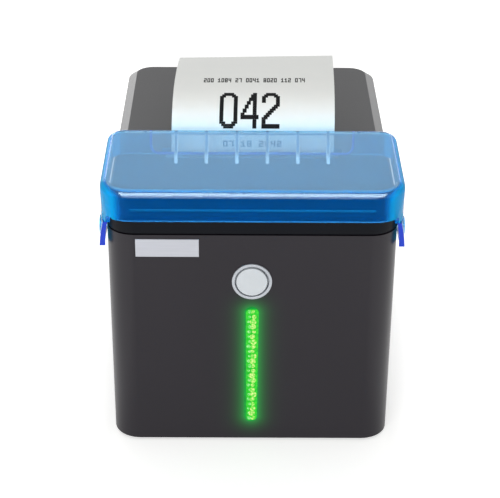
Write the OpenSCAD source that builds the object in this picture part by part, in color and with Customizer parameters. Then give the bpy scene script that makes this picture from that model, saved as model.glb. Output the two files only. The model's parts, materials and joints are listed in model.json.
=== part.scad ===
// Kitchen ticket printer with a clear splash hood, hinged paper lid, feed button and light bar.
// Millimetres, +Z up. The origin is on the resting surface, under the middle of the overall box.

/* [Housing] */
// Width of the housing, left to right
body_w = 134; // [126:1:150]
// Depth of the housing, front to rear
body_d = 180; // [176:1:196]
// Height of the main housing, from its lower edge to the seam
body_h = 113; // [109:0.5:120]
// Corner radius of the housing, seen from above
corner_r = 13; // [9:0.5:16]
// Wall thickness of the housing
wall = 2.5; // [2:0.1:3]
// Height of the visible seam between the lower and upper housing
seam = 0.6; // [0.4:0.1:1]
// Height of the feet under the housing
foot_h = 1.5; // [1:0.1:3]
// Radius of a rubber foot
foot_r = 6; // [4:0.5:8]

/* [Top] */
// Height of the front deck above the seam
deck_rise = 9.5; // [9.2:0.1:11]
// Depth of the front deck, from the front face to the paper slot
deck_d = 63.5; // [61:0.5:66]
// Height of the lid above the seam
lid_rise = 10.5; // [10:0.1:11.5]
// Width of the bevel round the lid, seen from above
bevel_w = 4.5; // [3:0.1:6]
// Height of the bevel round the lid
bevel_h = 3; // [2:0.1:3.5]
// Thickness of the top skins
skin = 2.3; // [1.8:0.1:2.6]
// Width of the paper slot
slot_w = 88; // [84:1:92]
// Depth of the paper slot, front to rear
slot_d = 4; // [3.6:0.1:4.6]
// Radius of the knuckle at the rear edge of the lid
knuckle_r = 4.3; // [4:0.1:4.8]
// Radius of the steel hinge rod
rod_r = 2; // [1.5:0.1:2.2]

/* [Splash hood] */
// How far the hood stands out in front of the housing
hood_over = 3; // [2.8:0.1:4]
// Wall thickness of the hood
hood_wall = 2; // [1.6:0.1:2.2]
// Height of the top of the hood above the seam
hood_rise = 25; // [23:0.5:28]
// Height of the front rim of the hood above the seam
rim_rise = 8.4; // [7.5:0.1:10]
// Gap between the sides of the hood and the housing
hood_gap = 0.5; // [0.4:0.1:1]
// Fillet along the upper edges of the hood
hood_fillet = 4; // [2.5:0.1:5]
// Width of the paper window in the rear wall of the hood
window_w = 99; // [94:1:104]
// Height of the sill under the paper window
sill_h = 1.7; // [1.2:0.1:3]
// Number of paper guide fins
fin_count = 6; // [4:1:8]
// Pitch of the paper guide fins
fin_pitch = 14.65; // [11:0.05:15]
// Thickness of a fin
fin_t = 1.2; // [0.8:0.1:2]
// Width of a pivot lug, front to rear
lug_w = 18; // [15:0.5:22]
// Distance from the front face to the front edge of a lug
lug_in = 6; // [5:0.5:9]
// Distance from the seam down to the lower edge of a lug
lug_drop = 8.7; // [8:0.1:12]
// Distance from the seam down to the hood pivot
pivot_drop = 3.7; // [3.4:0.1:4.5]
// Distance from the front edge of a lug to the hood pivot
pivot_in = 11.2; // [10:0.1:12]
// How far a lug flares out beyond the hood wall
lug_flare = 1.2; // [0.6:0.1:1.6]
// Radius of the shoulder of a pivot screw
pivot_r = 2; // [1.5:0.1:2.4]

/* [Front controls] */
// Height of the button centre above the lower edge of the housing
button_z = 88.9; // [86:0.1:92]
// Radius of the button cap
button_r = 7.4; // [6:0.1:9]
// Travel of the button
button_travel = 1; // [0.6:0.1:1.4]
// Width of the ring round the button
ring_w = 1.7; // [1.2:0.1:2.5]
// Width of the light bar
bar_w = 6.4; // [5:0.1:9]
// Length of the light bar
bar_l = 64.4; // [50:0.2:66]
// Height of the lower end of the light bar above the lower edge of the housing
bar_z = 10.4; // [9:0.1:14]
// Width of the name plate
plate_w = 29; // [20:0.5:36]
// Height of the name plate
plate_h = 9; // [6:0.5:10]
// Distance of the name plate's left edge from the housing's left side
plate_in = 13.6; // [13:0.1:20]
// Distance from the seam down to the upper edge of the name plate
plate_drop = 2; // [1:0.1:4]

/* [Paper] */
// Width of the paper
paper_w = 79.5; // [76:0.5:80]
// Thickness of the ticket
paper_t = 0.3; // [0.2:0.05:0.5]
// Height of the ticket's bow above the lid
ticket_rise = 26; // [15:0.5:40]
// Reach of the ticket's bow behind the slot
ticket_bow = 39; // [25:0.5:50]
// Length of the ticket's tail behind the bow
ticket_tail = 26.5; // [10:0.5:40]
// How far the end of the ticket droops
ticket_droop = 3.4; // [0:0.1:8]
// Radial room between a full paper roll and its bucket
roll_play = 6.5; // [3:0.5:14]
// Gap between the roll bucket and the rear wall
bucket_gap = 7.5; // [4:0.5:12]
// Height of the roll bucket's underside above the lower edge of the housing
bucket_floor = 22.5; // [21.5:0.5:26]

/* [Print mechanism] */
// Radius of the platen rubber
platen_r = 5; // [4.5:0.1:5.4]
// Radius of the platen shaft
shaft_r = 2.5; // [2:0.1:3]
// Gear module
gear_m = 0.6; // [0.5:0.05:0.65]
// Teeth of the platen gear
platen_teeth = 24; // [22:1:26]
// Teeth of the idler gear
idler_teeth = 36; // [34:1:40]
// Teeth of the motor pinions
pinion_teeth = 14; // [13:1:16]
// Thickness of the gears
gear_t = 3; // [2:0.5:4]
// Radius of the feed motor
motor_r = 15; // [12:0.5:16]
// Length of the feed motor
motor_l = 21; // [15:0.5:30]
// Radius of the cutter motor
cutter_motor_r = 11; // [8:0.5:12]
// Length of the cutter motor
cutter_motor_l = 24; // [18:0.5:26]
// Travel of the cutter blade
blade_travel = 5.2; // [4.6:0.1:5.2]
// Thickness of the sheet steel of the mechanism
sheet_t = 1.5; // [1:0.1:2]

/* [Rear panel and base] */
// How far the power rocker stands out behind the housing
rocker_stand = 2; // [1:0.1:3]
// Height of the circuit board above the lower edge of the housing
board_z = 8; // [6.5:0.1:10]
// Thickness of the circuit boards
board_t = 1.6; // [1.2:0.1:2]
// Distance between the wall bracket's screw holes
bracket_w = 114; // [104:1:114]
// Radius of a bracket screw hole
bracket_hole_r = 2.1; // [1.6:0.1:2.6]

/* [Hidden] */
$fn = 64;
hull_fn = 32;
// Gap between faces that pass each other, play of a seated part, and radial play of a running fit
clear = 0.3;
seat_gap = 0.2;
run_fit = 0.05;
eps = 0.01;
through = 400;

// Levels and faces of the housing
y_front = -(body_d - hood_over + rocker_stand) / 2;
y_rear = y_front + body_d;
side_x = body_w / 2;
inner_x = side_x - wall;
z_base = foot_h;
z_seam = z_base + body_h;
z_upper = z_seam + seam;
z_deck = z_seam + deck_rise;
z_lid = z_seam + lid_rise;
z_skin = z_lid - skin;

// Upper frame
deck_chamfer = 1.5;
lip_t = 1.6;
lip_h = 5;

// Paper slot and platen
deck_rear = y_front + deck_d;
lid_front = deck_rear + seam;
slot_rear = lid_front + slot_d;
platen_drop = 3;
platen_y = slot_rear + platen_r;
platen_z = z_seam - platen_drop;

// Lid hinge
hinge_y = y_rear - knuckle_r;
hinge_z = z_seam + clear + knuckle_r;
hinge_lug_x = 42;
hinge_lug_w = 8;
hinge_lug_drop = 14;
knuckle_l = body_w - 2 * corner_r;
rod_in = 2;

// Hood
z_hood = z_seam + hood_rise;
z_rim = z_seam + rim_rise;
hood_x = side_x + hood_gap + hood_wall;
hood_front = y_front - hood_over;
hood_rear = deck_rear - 0.5;
hood_front_r = corner_r + 1;
hood_rear_r = 8;
rim_blend = 5;
window_r = 4;
fin_d = 10;
fin_drop = 1.2;
lug_front = y_front + lug_in;
lug_t = 2.6;
lug_x_out = hood_x + lug_flare;
z_hood_low = z_seam - lug_drop;
pivot_y = lug_front + pivot_in;
pivot_z = z_seam - pivot_drop;
pivot_head_r = pivot_r + 1.6;
pivot_head_t = 1.4;
pivot_sink = 0.1;
pivot_nut_t = 2;
pivot_nut_r = pivot_r + 1.5;

// Tear bar on the rear edge of the deck
tear_teeth = 40;
tear_d = 4;
tear_t = 0.8;
tear_depth = 0.8;
tear_over = 0.2;
z_sill = z_deck + tear_t + clear;

// Base, feet and screws
post_r = 4;
post_in = 5;
post_h = 38;
screw_r = 1.35;
screw_l = 14;
pilot_r = screw_r + run_fit;
screw_hole_r = screw_r + clear;
screw_head_r = 2.8;
screw_head_t = 1.4;
post_x = inner_x - (corner_r - wall) + post_in;
post_front = y_front + corner_r - post_in;
post_rear = y_rear - corner_r + post_in;
pan_t = 2.5;
foot_in = 22;
foot_seat = 1;
foot_taper = 1;
bracket_y = 30;

// Front panel
panel_gap = 8;
panel_y = y_front + wall + panel_gap;
panel_w = 28;
panel_low = z_base + 7;
panel_high = z_base + button_z + 12;
panel_screw_in = 4;
panel_screw_l = 5;
panel_post_r = 2.5;
panel_post_x = panel_w / 2 - panel_screw_in;
panel_post_z = [panel_low + panel_screw_in, panel_high - panel_screw_in];
panel_posts = [for (x = [-panel_post_x, panel_post_x]) for (z = panel_post_z) [x, z]];
button_zc = z_base + button_z;
bar_zc = z_base + bar_z + bar_l / 2;
bezel_t = 0.8;
button_gap = 0.2;
button_stand = 0.7;
button_flange = 1.2;
sleeve_r = button_r + button_gap + ring_w / 2;
stub_r = 2;
tact_w = 6;
tact_t = 3;
tact_h = 3.8;
tact_r = 1.7;
bar_stand = 0.6;
bar_flange = 1.8;
bar_flange_t = 1.5;
led_count = 8;
led_w = 3.2;
led_t = 1.4;
plate_t = 0.5;

// Roll bucket, which fills the depth between the mechanism and the rear wall
bucket_wall = 2;
frame_tail = 8.4;
frame_rear = platen_y + frame_tail;
frame_gap = 1.5;
bucket_front = frame_rear + frame_gap;
bucket_rear = y_rear - wall - bucket_gap;
bucket_y = (bucket_front + bucket_rear) / 2;
bucket_r = (bucket_rear - bucket_front) / 2 - bucket_wall;
bucket_zc = z_base + bucket_floor + bucket_wall + bucket_r;
bucket_drop = 5;
bucket_top = z_seam - bucket_drop;
bucket_play = 1.25;
bucket_half = paper_w / 2 + bucket_play;
bucket_end = bucket_half + bucket_wall;
bucket_steps = 48;
core_r = 9;
core_hole_r = 6;
roll_r = bucket_r - roll_play;
roll_z = bucket_zc - bucket_r + clear + roll_r;
shelf_t = 2.5;
leg_r = 4;
leg_x = 50;
leg_in = 24;
leg_front = y_front + leg_in;
leg_rear_in = 9.5;
leg_rear = bucket_y + bucket_r - leg_rear_in;
leg_arm_h = 12;

// Blade stack above the platen
blade_t = 1;
blade_lift = 0.4;
cutter_t = 1.8;
cutter_gap = 0.2;
fixed_z = platen_z + platen_r + blade_lift;
blade_z = fixed_z + blade_t + clear;
cutter_z = blade_z - cutter_gap - cutter_t;

// Gear train, in the plane beside the left frame plate
frame_x = paper_w / 2 + 5.75;
frame_out = frame_x + sheet_t;
gear_gap = 8;
gear_room = 0.6;
gear_x = -(frame_out + gear_gap + gear_t);
pressure_turn = 20;
tooth_tip = 0.8 * gear_m;
tooth_root = 1.05 * gear_m;
backlash = 0.12;
idler_y = platen_y;
idler_z = platen_z - (platen_teeth + idler_teeth) * gear_m / 2;
pinion_turn = 226;
pinion_reach = (idler_teeth + pinion_teeth) * gear_m / 2;
pinion_y = idler_y + pinion_reach * cos(pinion_turn);
pinion_z = idler_z + pinion_reach * sin(pinion_turn);
axle_r = 2;
axle_head_t = 0.6;
axle_head_r = axle_r + 1.2;
motor_shaft_r = 1.2;
shaft_hole_r = motor_shaft_r + 1;
shaft_over = 1.5;
platen_phase = 270;
idler_phase = mesh_phase(platen_phase, platen_teeth, idler_teeth, 270);
pinion_phase = mesh_phase(idler_phase, idler_teeth, pinion_teeth, pinion_turn);

// Mechanism frame and print head
frame_top = cutter_z;
motor_gap = 1;
frame_low = pinion_z - motor_r - motor_gap - sheet_t;
shelf_z = frame_low - shelf_t;
frame_in = 24.5;
frame_front = y_front + frame_in;
bush_r = 4.5;
bush_over_in = 1.5;
bush_over_out = 2;
bush_in = frame_x - bush_over_in;
bush_out = frame_out + bush_over_out;
notch_gap = 0.6;
head_gap = 0.5;
ceramic_t = 1;
sink_t = 4;
sink_pitch = 10;
sink_groove_w = 4;
sink_groove_d = 1.6;
sink_edge = 3;
head_in = 2.5;
head_x = frame_x - head_in;
ceramic_drop = 9;
ceramic_low = z_seam - ceramic_drop;
sink_drop = 11;
sink_low = z_seam - sink_drop;
head_top = frame_top - clear;
ceramic_y = slot_rear - head_gap - ceramic_t;
sink_y = ceramic_y - sink_t;
spring_w = 30;
spring_t = 0.5;
spring_leg = 11;
spring_slant = 4;
spring_gap = 5.6;
spring_drop = 15;
spring_low = frame_top - spring_drop;
cross_y = sink_y - spring_gap - sheet_t;
cross_drop = 1.5;
cross_h = 15.5;
ribbon_x = 2;
ribbon_w = 24;
ribbon_t = 0.4;
ribbon_in = 1;
ribbon_y = sink_y + ribbon_in;
ribbon_play = 4;
connector_h = 6;
connector_over = 2;
connector_w = ribbon_w + 2 * connector_over;
connector_d = 5;

// Arms under the lid that carry the platen
arm_gap = 0.8;
arm_in = bush_out + arm_gap;
arm_t = 3.5;
arm_r = 5.5;

// Cutter
blade_over = 2.25;
blade_x = paper_w / 2 + blade_over;
blade_in = 6;
blade_front = frame_front + blade_in;
blade_back = 1;
blade_rear = deck_rear - blade_back;
blade_vee = 0.8;
fixed_over = 1.3;
fixed_d = 11.3;
cutter_x = 22;
cutter_in = 38.5;
cutter_y = y_front + cutter_in;
pinion_pitch_r = pinion_teeth * gear_m / 2;
rack_z = blade_z + blade_t;
rack_t = 1.8;
rack_w = 3;
rack_teeth = 8;
rack_pitch = PI * gear_m;
rack_x = cutter_x + pinion_pitch_r;
rack_root_x = rack_x + tooth_root;
rack_first = cutter_y - (rack_teeth - 2.5) * rack_pitch;
rack_last = rack_first + (rack_teeth - 1) * rack_pitch;

// Lid liner
liner_t = 2.2;
liner_side = 9;
liner_x = side_x - liner_side;
liner_play = 0.1;
liner_front = slot_rear + skin + liner_play;
liner_hinge_gap = 11;
liner_rear = hinge_y - liner_hinge_gap;
liner_screw_side = 6;
liner_screw_x = liner_x - liner_screw_side;
liner_screw_front = 30;
liner_screw_rear = 8;
liner_screw_y = [liner_front + liner_screw_front, liner_rear - liner_screw_rear];
liner_bite = 1.3;

// Circuit board and ports
board_top = z_base + board_z + board_t;
board_x = 44;
board_in = 40;
board_front = y_front + board_in;
board_gap = 3;
board_rear = y_rear - wall - board_gap;
board_screw_l = 5;
standoff_r = 3;
standoff_side = 5;
standoff_x = board_x - standoff_side;
standoff_front = 6;
standoff_rear = 30;
standoff_y = [board_front + standoff_front, board_rear - standoff_rear];
port_in = 0.3;
port_face = y_rear - port_in;
jack_size = [12, 14, 11];
jack_r = 3.2;
jack_pin_r = 1.05;
jack_depth = 10;
usb_size = [12, 17, 11];
usb_depth = 10;
usb_tongue = [5.6, 9, 3.2];
lan_size = [16, 21, 13.5];
lan_depth = 13;
drawer_size = [13.2, 15, 12];
drawer_depth = 11;
socket_wall = 1.4;
buzzer_r = 6;
buzzer_h = 8.5;
buzzer_hole_r = 1.2;
switch_w = 13;
switch_h = 19;
switch_in = 1.5;
switch_x = side_x - corner_r - switch_in - switch_w / 2;
switch_up = 30;
switch_z = z_base + switch_up;
switch_rim = 1.2;
switch_wall = 1.2;
switch_d = 14;
well_d = 8;
rocker_gap = 0.4;
rocker_end_gap = 1.3;
rocker_in = 3.6;
rocker_pin_r = 1.2;
rocker_pin_l = 0.8;

// Row of ports, set out from the switch towards the left
switch_pitch = 16;
port_pitch = 22;
jack_pitch = 20;
drawer_x = switch_x - switch_pitch;
lan_x = drawer_x - port_pitch;
usb_x = lan_x - port_pitch;
jack_x = usb_x - jack_pitch;

// Lid release and lid switch
release_back = 16;
release_y = platen_y + release_back;
release_drop = 9;
release_z = z_seam - release_drop;
release_w = 14;
release_h = 7;
release_stand = 0.8;
release_lip = 1.5;
release_d = 3.2;
lid_switch_size = [5, 10, 6];
lid_switch_drop = 16;

// Ticket path in the Y-Z plane: up out of the slot, over a bow and down along a drooping tail
ticket_y = slot_rear - 0.6;
ticket_low = z_lid - 2.2;
ticket_straight = 0.8;
ticket_power = 0.8;
ticket_steps = 16;
ticket_path = concat([[ticket_y, ticket_low]],
  [for (i = [0 : ticket_steps]) bow_point(90 * i / ticket_steps)],
  [for (i = [1 : ticket_steps / 2]) tail_point(2 * i / ticket_steps)]);

// Shared shapes

function mesh_phase(turn, teeth, next_teeth, toward) =
  toward + 180 - teeth / next_teeth * (turn - toward) - 180 / next_teeth;

function involute_turn(r, base_r) =
  let (a = acos(min(1, base_r / max(r, base_r)))) tan(a) * 180 / PI - a;

function gear_points(teeth) =
  let (pitch_r = teeth * gear_m / 2)
  let (base_r = pitch_r * cos(pressure_turn))
  let (root_r = pitch_r - tooth_root)
  let (tip_r = pitch_r + tooth_tip)
  let (half = 90 / teeth - backlash / 2 / pitch_r * 180 / PI)
  let (at_pitch = half + involute_turn(pitch_r, base_r))
  let (radii = [root_r, max(base_r, root_r + eps), pitch_r, (pitch_r + tip_r) / 2, tip_r])
  [for (k = [0 : teeth - 1]) for (side = [-1, 1]) for (i = [0 : len(radii) - 1])
    let (r = radii[side < 0 ? i : len(radii) - 1 - i])
    let (turn = k * 360 / teeth + side * (at_pitch - involute_turn(r, base_r)))
    [r * cos(turn), r * sin(turn)]];

module gear(teeth, thick, bore_r, phase) {
  linear_extrude(thick)
    difference() {
      rotate(phase) polygon(gear_points(teeth));
      circle(bore_r);
    }
}

// Turns a shape drawn in the X-Y plane so that it lies in the Y-Z plane, extruded along +X
module along_x(x, y, z) {
  translate([x, y, z]) rotate([90, 0, 90]) children();
}

// Turns a shape drawn in the X-Y plane upright, extruded forwards from a depth behind the front face
module facing(x, depth, z) {
  translate([x, y_front + depth, z]) rotate([90, 0, 0]) children();
}

module block(low, high) {
  translate(low) cube(high - low);
}

module both_sides() {
  children();
  mirror([1, 0, 0]) children();
}

module rounded_outline(x, front, rear, r) {
  translate([-x, front + r]) square([2 * x, rear - front - 2 * r]);
  translate([r - x, front]) square([2 * (x - r), rear - front]);
  for (cx = [r - x, x - r])
    for (cy = [front + r, rear - r])
      translate([cx, cy]) circle(r);
}

module body_outline(inset) {
  rounded_outline(side_x - inset, y_front + inset, y_rear - inset, corner_r - inset);
}

module stadium(w, l) {
  translate([-w / 2, -l / 2 + w / 2]) square([w, l - w]);
  for (end = [-1, 1])
    translate([0, end * (l - w) / 2]) circle(w / 2);
}

// Places for what repeats

module post_places() {
  for (x = [-post_x, post_x])
    for (y = [post_front, post_rear])
      translate([x, y, z_base]) children();
}

module feet_places() {
  for (x = [foot_in - side_x, side_x - foot_in])
    for (y = [y_front + foot_in, y_rear - foot_in])
      translate([x, y, 0]) children();
}

module standoff_places() {
  for (x = [-standoff_x, standoff_x])
    for (y = standoff_y)
      translate([x, y, z_base]) children();
}

module liner_screw_places() {
  for (x = [-liner_screw_x, liner_screw_x])
    for (y = liner_screw_y)
      translate([x, y, z_skin - liner_t]) children();
}

// Housing

module main_housing() {
  hole_r = sleeve_r + button_gap;
  color("#3a373c")
    difference() {
      union() {
        difference() {
          translate([0, 0, z_base]) linear_extrude(body_h) body_outline(0);
          translate([0, 0, z_base - 1]) linear_extrude(body_h + 2) body_outline(wall);
        }
        housing_posts();
        panel_bosses();
        hinge_lugs();
      }
      post_places() cylinder(r = pilot_r, h = screw_l + 1);
      facing(0, wall + eps, button_zc) cylinder(r = hole_r, h = wall + 1);
      facing(0, wall + eps, bar_zc)
        linear_extrude(wall + 1) stadium(bar_w + 2 * run_fit, bar_l + 2 * run_fit);
      for (p = panel_posts)
        facing(p[0], wall + panel_gap + 1, p[1]) cylinder(r = pilot_r, h = panel_screw_l + 2);
      along_x(-through / 2, hinge_y, hinge_z) cylinder(r = rod_r + run_fit / 2, h = through);
      along_x(-through / 2, pivot_y, pivot_z) cylinder(r = pivot_r, h = through);
      port_cuts();
      translate([0, release_y, release_z])
        block([inner_x - 1, -release_w / 2 - clear, -release_h / 2 - clear],
          [side_x + 1, release_w / 2 + clear, release_h / 2 + clear]);
    }
}

module housing_posts() {
  intersection() {
    post_places() translate([0, 0, pan_t + seat_gap]) cylinder(r = post_r, h = post_h);
    translate([0, 0, z_base]) linear_extrude(body_h) body_outline(wall / 2);
  }
}

module panel_bosses() {
  for (p = panel_posts)
    facing(p[0], wall + panel_gap, p[1]) cylinder(r = panel_post_r, h = panel_gap + wall / 2);
}

// Each lug has an eye round the rod, a neck in front of it and a foot on the rear wall
module hinge_lugs() {
  reach = knuckle_r - clear;
  low = [hinge_lug_x - hinge_lug_w / 2, hinge_y - reach, z_seam - hinge_lug_drop];
  right = low[0] + hinge_lug_w;
  both_sides() {
    along_x(low[0], hinge_y, hinge_z) cylinder(r = reach, h = hinge_lug_w);
    block(low, [right, hinge_y, hinge_z]);
    block(low, [right, y_rear - wall / 2, z_seam - clear]);
  }
}

module port_cuts() {
  for (p = [[jack_x, jack_size], [usb_x, usb_size], [lan_x, lan_size], [drawer_x, drawer_size]])
    block([p[0] - p[1][0] / 2 - clear, y_rear - wall - 1, board_top - clear],
      [p[0] + p[1][0] / 2 + clear, y_rear + 1, board_top + p[1][2] + clear]);
  block([switch_x - switch_w / 2 - seat_gap, y_rear - wall - 1, switch_z - switch_h / 2 - seat_gap],
    [switch_x + switch_w / 2 + seat_gap, y_rear + 1, switch_z + switch_h / 2 + seat_gap]);
}

module base_pan() {
  color("#2d2b2f")
    difference() {
      union() {
        translate([0, 0, z_base]) linear_extrude(pan_t) body_outline(wall + seat_gap);
        standoff_places() cylinder(r = standoff_r, h = board_z);
      }
      post_places() translate([0, 0, -1]) {
        cylinder(r = screw_hole_r, h = pan_t + 2);
        cylinder(r = screw_head_r + seat_gap, h = 1 + screw_head_t);
      }
      standoff_places() translate([0, 0, pan_t]) cylinder(r = pilot_r, h = board_z);
      for (x = [-bracket_w / 2, bracket_w / 2])
        translate([x, bracket_y, z_base - 1]) cylinder(r = bracket_hole_r, h = pan_t + 2);
      feet_places() translate([0, 0, z_base - 1]) cylinder(r = foot_r + seat_gap / 2, h = 1 + foot_seat);
    }
}

module rubber_feet() {
  color("#1b1b1c")
    feet_places() {
      cylinder(r1 = foot_r - foot_taper, r2 = foot_r, h = foot_taper);
      translate([0, 0, foot_taper]) cylinder(r = foot_r, h = foot_h + foot_seat - foot_taper);
    }
}

module base_screws() {
  color("#b9bcc0")
    post_places() {
      cylinder(r = screw_head_r, h = screw_head_t);
      cylinder(r = screw_r, h = screw_l);
    }
}

module upper_outline(inset, sides) {
  $fn = sides;
  rounded_outline(side_x - inset, y_front + inset, deck_rear + corner_r + 2, corner_r - inset);
}

module upper_frame() {
  rise = z_deck - z_upper;
  lip_in = wall + seat_gap;
  skirt_x = side_x - lip_in - deck_chamfer;
  color("#2b2a2f")
    difference() {
      union() {
        hull() {
          translate([0, 0, z_upper]) linear_extrude(rise - deck_chamfer) upper_outline(0, hull_fn);
          translate([0, 0, z_upper]) linear_extrude(rise) upper_outline(deck_chamfer, hull_fn);
        }
        upper_lip(lip_in);
      }
      translate([0, 0, z_upper - 1]) linear_extrude(rise + 1 - skin) upper_outline(wall + deck_chamfer, $fn);
      block([-side_x, deck_rear, z_upper - 2 * lip_h], [side_x, y_rear, z_deck + 1]);
      block([-skirt_x, deck_rear - 2 * slot_d, z_upper - lip_h - 1], [skirt_x, deck_rear + 1, z_deck - skin]);
    }
}

// Lip that drops inside the lower housing, with a gap on each side for the hood's pivot screw
module upper_lip(inset) {
  gap = pivot_nut_r + 2.5;
  difference() {
    translate([0, 0, z_upper - lip_h]) linear_extrude(lip_h + 1) upper_outline(inset, $fn);
    translate([0, 0, z_upper - lip_h - 1]) linear_extrude(lip_h + 3) upper_outline(inset + lip_t, $fn);
    both_sides()
      block([frame_out, pivot_y - gap, z_upper - lip_h - 1], [side_x, pivot_y + gap, z_upper - eps]);
  }
}

module tear_bar() {
  pitch = (slot_w - tear_d) / tear_teeth;
  half = tear_teeth * pitch / 2;
  root = deck_rear + tear_over - tear_depth;
  color("#c4c7cb")
    translate([0, 0, z_deck]) linear_extrude(tear_t)
      polygon(concat([[-half, deck_rear - tear_d], [-half, root]],
        [for (i = [0 : tear_teeth - 1]) each [[(i + 0.5) * pitch - half, root + tear_depth],
          [(i + 1) * pitch - half, root]]],
        [[half, deck_rear - tear_d]]));
}

module name_plate() {
  left = plate_in - side_x;
  high = z_seam - plate_drop;
  color("#cfd2d6")
    block([left, y_front - plate_t, high - plate_h], [left + plate_w, y_front, high]);
}

// Front controls

module button_bezel() {
  color("#b4b7bd")
    difference() {
      union() {
        facing(0, 0, button_zc) cylinder(r = button_r + button_gap + ring_w, h = bezel_t);
        facing(0, wall, button_zc) cylinder(r = sleeve_r, h = wall);
      }
      facing(0, wall + 1, button_zc) cylinder(r = button_r + button_gap, h = wall + 3);
    }
}

// The flange behind the sleeve holds the button in, and the stub reaches the switch at full travel
module feed_button() {
  flange_back = wall + button_flange;
  stub_back = wall + panel_gap - tact_h - button_travel - run_fit;
  color("#d5d8dd") {
    facing(0, flange_back, button_zc) cylinder(r = button_r, h = flange_back + button_stand);
    facing(0, flange_back, button_zc) cylinder(r = button_r + button_flange, h = button_flange - run_fit);
    facing(0, stub_back, button_zc) cylinder(r = stub_r, h = stub_back - wall);
  }
}

module light_bar() {
  color("#2fe03a") {
    facing(0, wall, bar_zc) linear_extrude(wall + bar_stand) stadium(bar_w, bar_l);
    facing(0, wall + bar_flange_t, bar_zc)
      linear_extrude(bar_flange_t) stadium(bar_w + 2 * bar_flange, bar_l + 2 * bar_flange);
  }
}

module panel_board() {
  color("#1f5a3c")
    difference() {
      block([-panel_w / 2, panel_y, panel_low], [panel_w / 2, panel_y + board_t, panel_high]);
      for (p = panel_posts)
        facing(p[0], wall + panel_gap + board_t + 1, p[1]) cylinder(r = screw_hole_r, h = board_t + 2);
    }
}

module panel_leds() {
  color("#e8f7d8")
    for (i = [0 : led_count - 1])
      translate([0, panel_y, z_base + bar_z + bar_l * (i + 0.5) / led_count])
        block([-led_w / 2, -led_t, -led_w / 2], [led_w / 2, 0, led_w / 2]);
}

module panel_switch() {
  half = tact_w / 2;
  color("#26262a") {
    block([-half, panel_y - tact_t, button_zc - half], [half, panel_y, button_zc + half]);
    facing(0, wall + panel_gap, button_zc) cylinder(r = tact_r, h = tact_h);
  }
}

module panel_screws() {
  back = wall + panel_gap + board_t;
  color("#b9bcc0")
    for (p = panel_posts) {
      facing(p[0], back + screw_head_t, p[1]) cylinder(r = panel_post_r, h = screw_head_t);
      facing(p[0], back, p[1]) cylinder(r = screw_r, h = board_t + panel_screw_l);
    }
}

// Roll bucket and paper

module roll_bucket() {
  floor_z = z_base + pan_t;
  arm_l = leg_x - bucket_end + 1;
  mid_r = bucket_r + bucket_wall / 2;
  below = max(0, bucket_zc - shelf_z);
  shelf_rear = bucket_y - sqrt(pow(mid_r, 2) - pow(below, 2));
  color("#47464b")
    difference() {
      union() {
        along_x(-bucket_end, bucket_y, bucket_zc) linear_extrude(2 * bucket_end) bucket_outline(bucket_wall);
        block([-leg_x - leg_r, leg_front - leg_r, shelf_z],
          [leg_x + leg_r, shelf_rear, shelf_z + shelf_t]);
        both_sides() {
          translate([leg_x, leg_front, floor_z]) cylinder(r = leg_r, h = shelf_z - floor_z + 1);
          translate([leg_x, leg_rear, floor_z]) cylinder(r = leg_r, h = bucket_zc - floor_z);
          block([leg_x - arm_l, leg_rear - leg_r, bucket_zc - leg_arm_h],
            [leg_x, leg_rear + leg_r, bucket_zc]);
        }
      }
      along_x(-bucket_half, bucket_y, bucket_zc) linear_extrude(2 * bucket_half) bucket_outline(0);
      ribbon_pass(shelf_z, shelf_t);
    }
}

module bucket_outline(grow) {
  r = bucket_r + grow;
  top = bucket_top - bucket_zc + (grow > 0 ? 0 : 1);
  turns = [for (i = [0 : bucket_steps]) 180 + 180 * i / bucket_steps];
  polygon(concat([[r, top], [-r, top]], [for (a = turns) r * [cos(a), sin(a)]]));
}

// Opening for the head's ribbon through a plate
module ribbon_pass(low, thick) {
  half = ribbon_w / 2 + ribbon_play;
  rear = ceramic_y + 2 * ceramic_t;
  block([ribbon_x - half, sink_y - 1, low - 1], [ribbon_x + half, rear, low + thick + 1]);
}

module paper_roll() {
  color("#f1f0ec")
    along_x(-paper_w / 2, bucket_y, roll_z) linear_extrude(paper_w)
      difference() {
        circle(roll_r, $fn = 128);
        circle(core_r);
      }
}

module roll_core() {
  color("#b79a6d")
    along_x(-paper_w / 2, bucket_y, roll_z) linear_extrude(paper_w)
      difference() {
        circle(core_r);
        circle(core_hole_r);
      }
}

module paper_sensor() {
  size = [10, 1.2, 6];
  drop = 3;
  wall_y = bucket_y - bucket_r - bucket_wall;
  color("#222226")
    block([size[0], wall_y - size[1], bucket_top - drop - size[2]], [2 * size[0], wall_y, bucket_top - drop]);
}

// Points of the ticket's middle line
function bow_point(turn) =
  [ticket_y + ticket_bow * (1 - pow(cos(turn), ticket_power)),
    z_lid + ticket_straight + (ticket_rise - ticket_straight) * pow(sin(turn), ticket_power)];

function tail_point(part) =
  [ticket_y + ticket_bow + ticket_tail * part, z_lid + ticket_rise - ticket_droop * pow(part, 2)];

function ticket_side(i, side) =
  let (a = ticket_path[max(0, i - 1)])
  let (b = ticket_path[min(len(ticket_path) - 1, i + 1)])
  let (d = (b - a) / norm(b - a))
  ticket_path[i] + side * paper_t / 2 * [-d[1], d[0]];

module ticket() {
  last = len(ticket_path) - 1;
  color("#f4f5f3")
    along_x(-paper_w / 2, 0, 0) linear_extrude(paper_w)
      polygon(concat([for (i = [0 : last]) ticket_side(i, 1)],
        [for (i = [last : -1 : 0]) ticket_side(i, -1)]));
}

// Print mechanism

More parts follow.
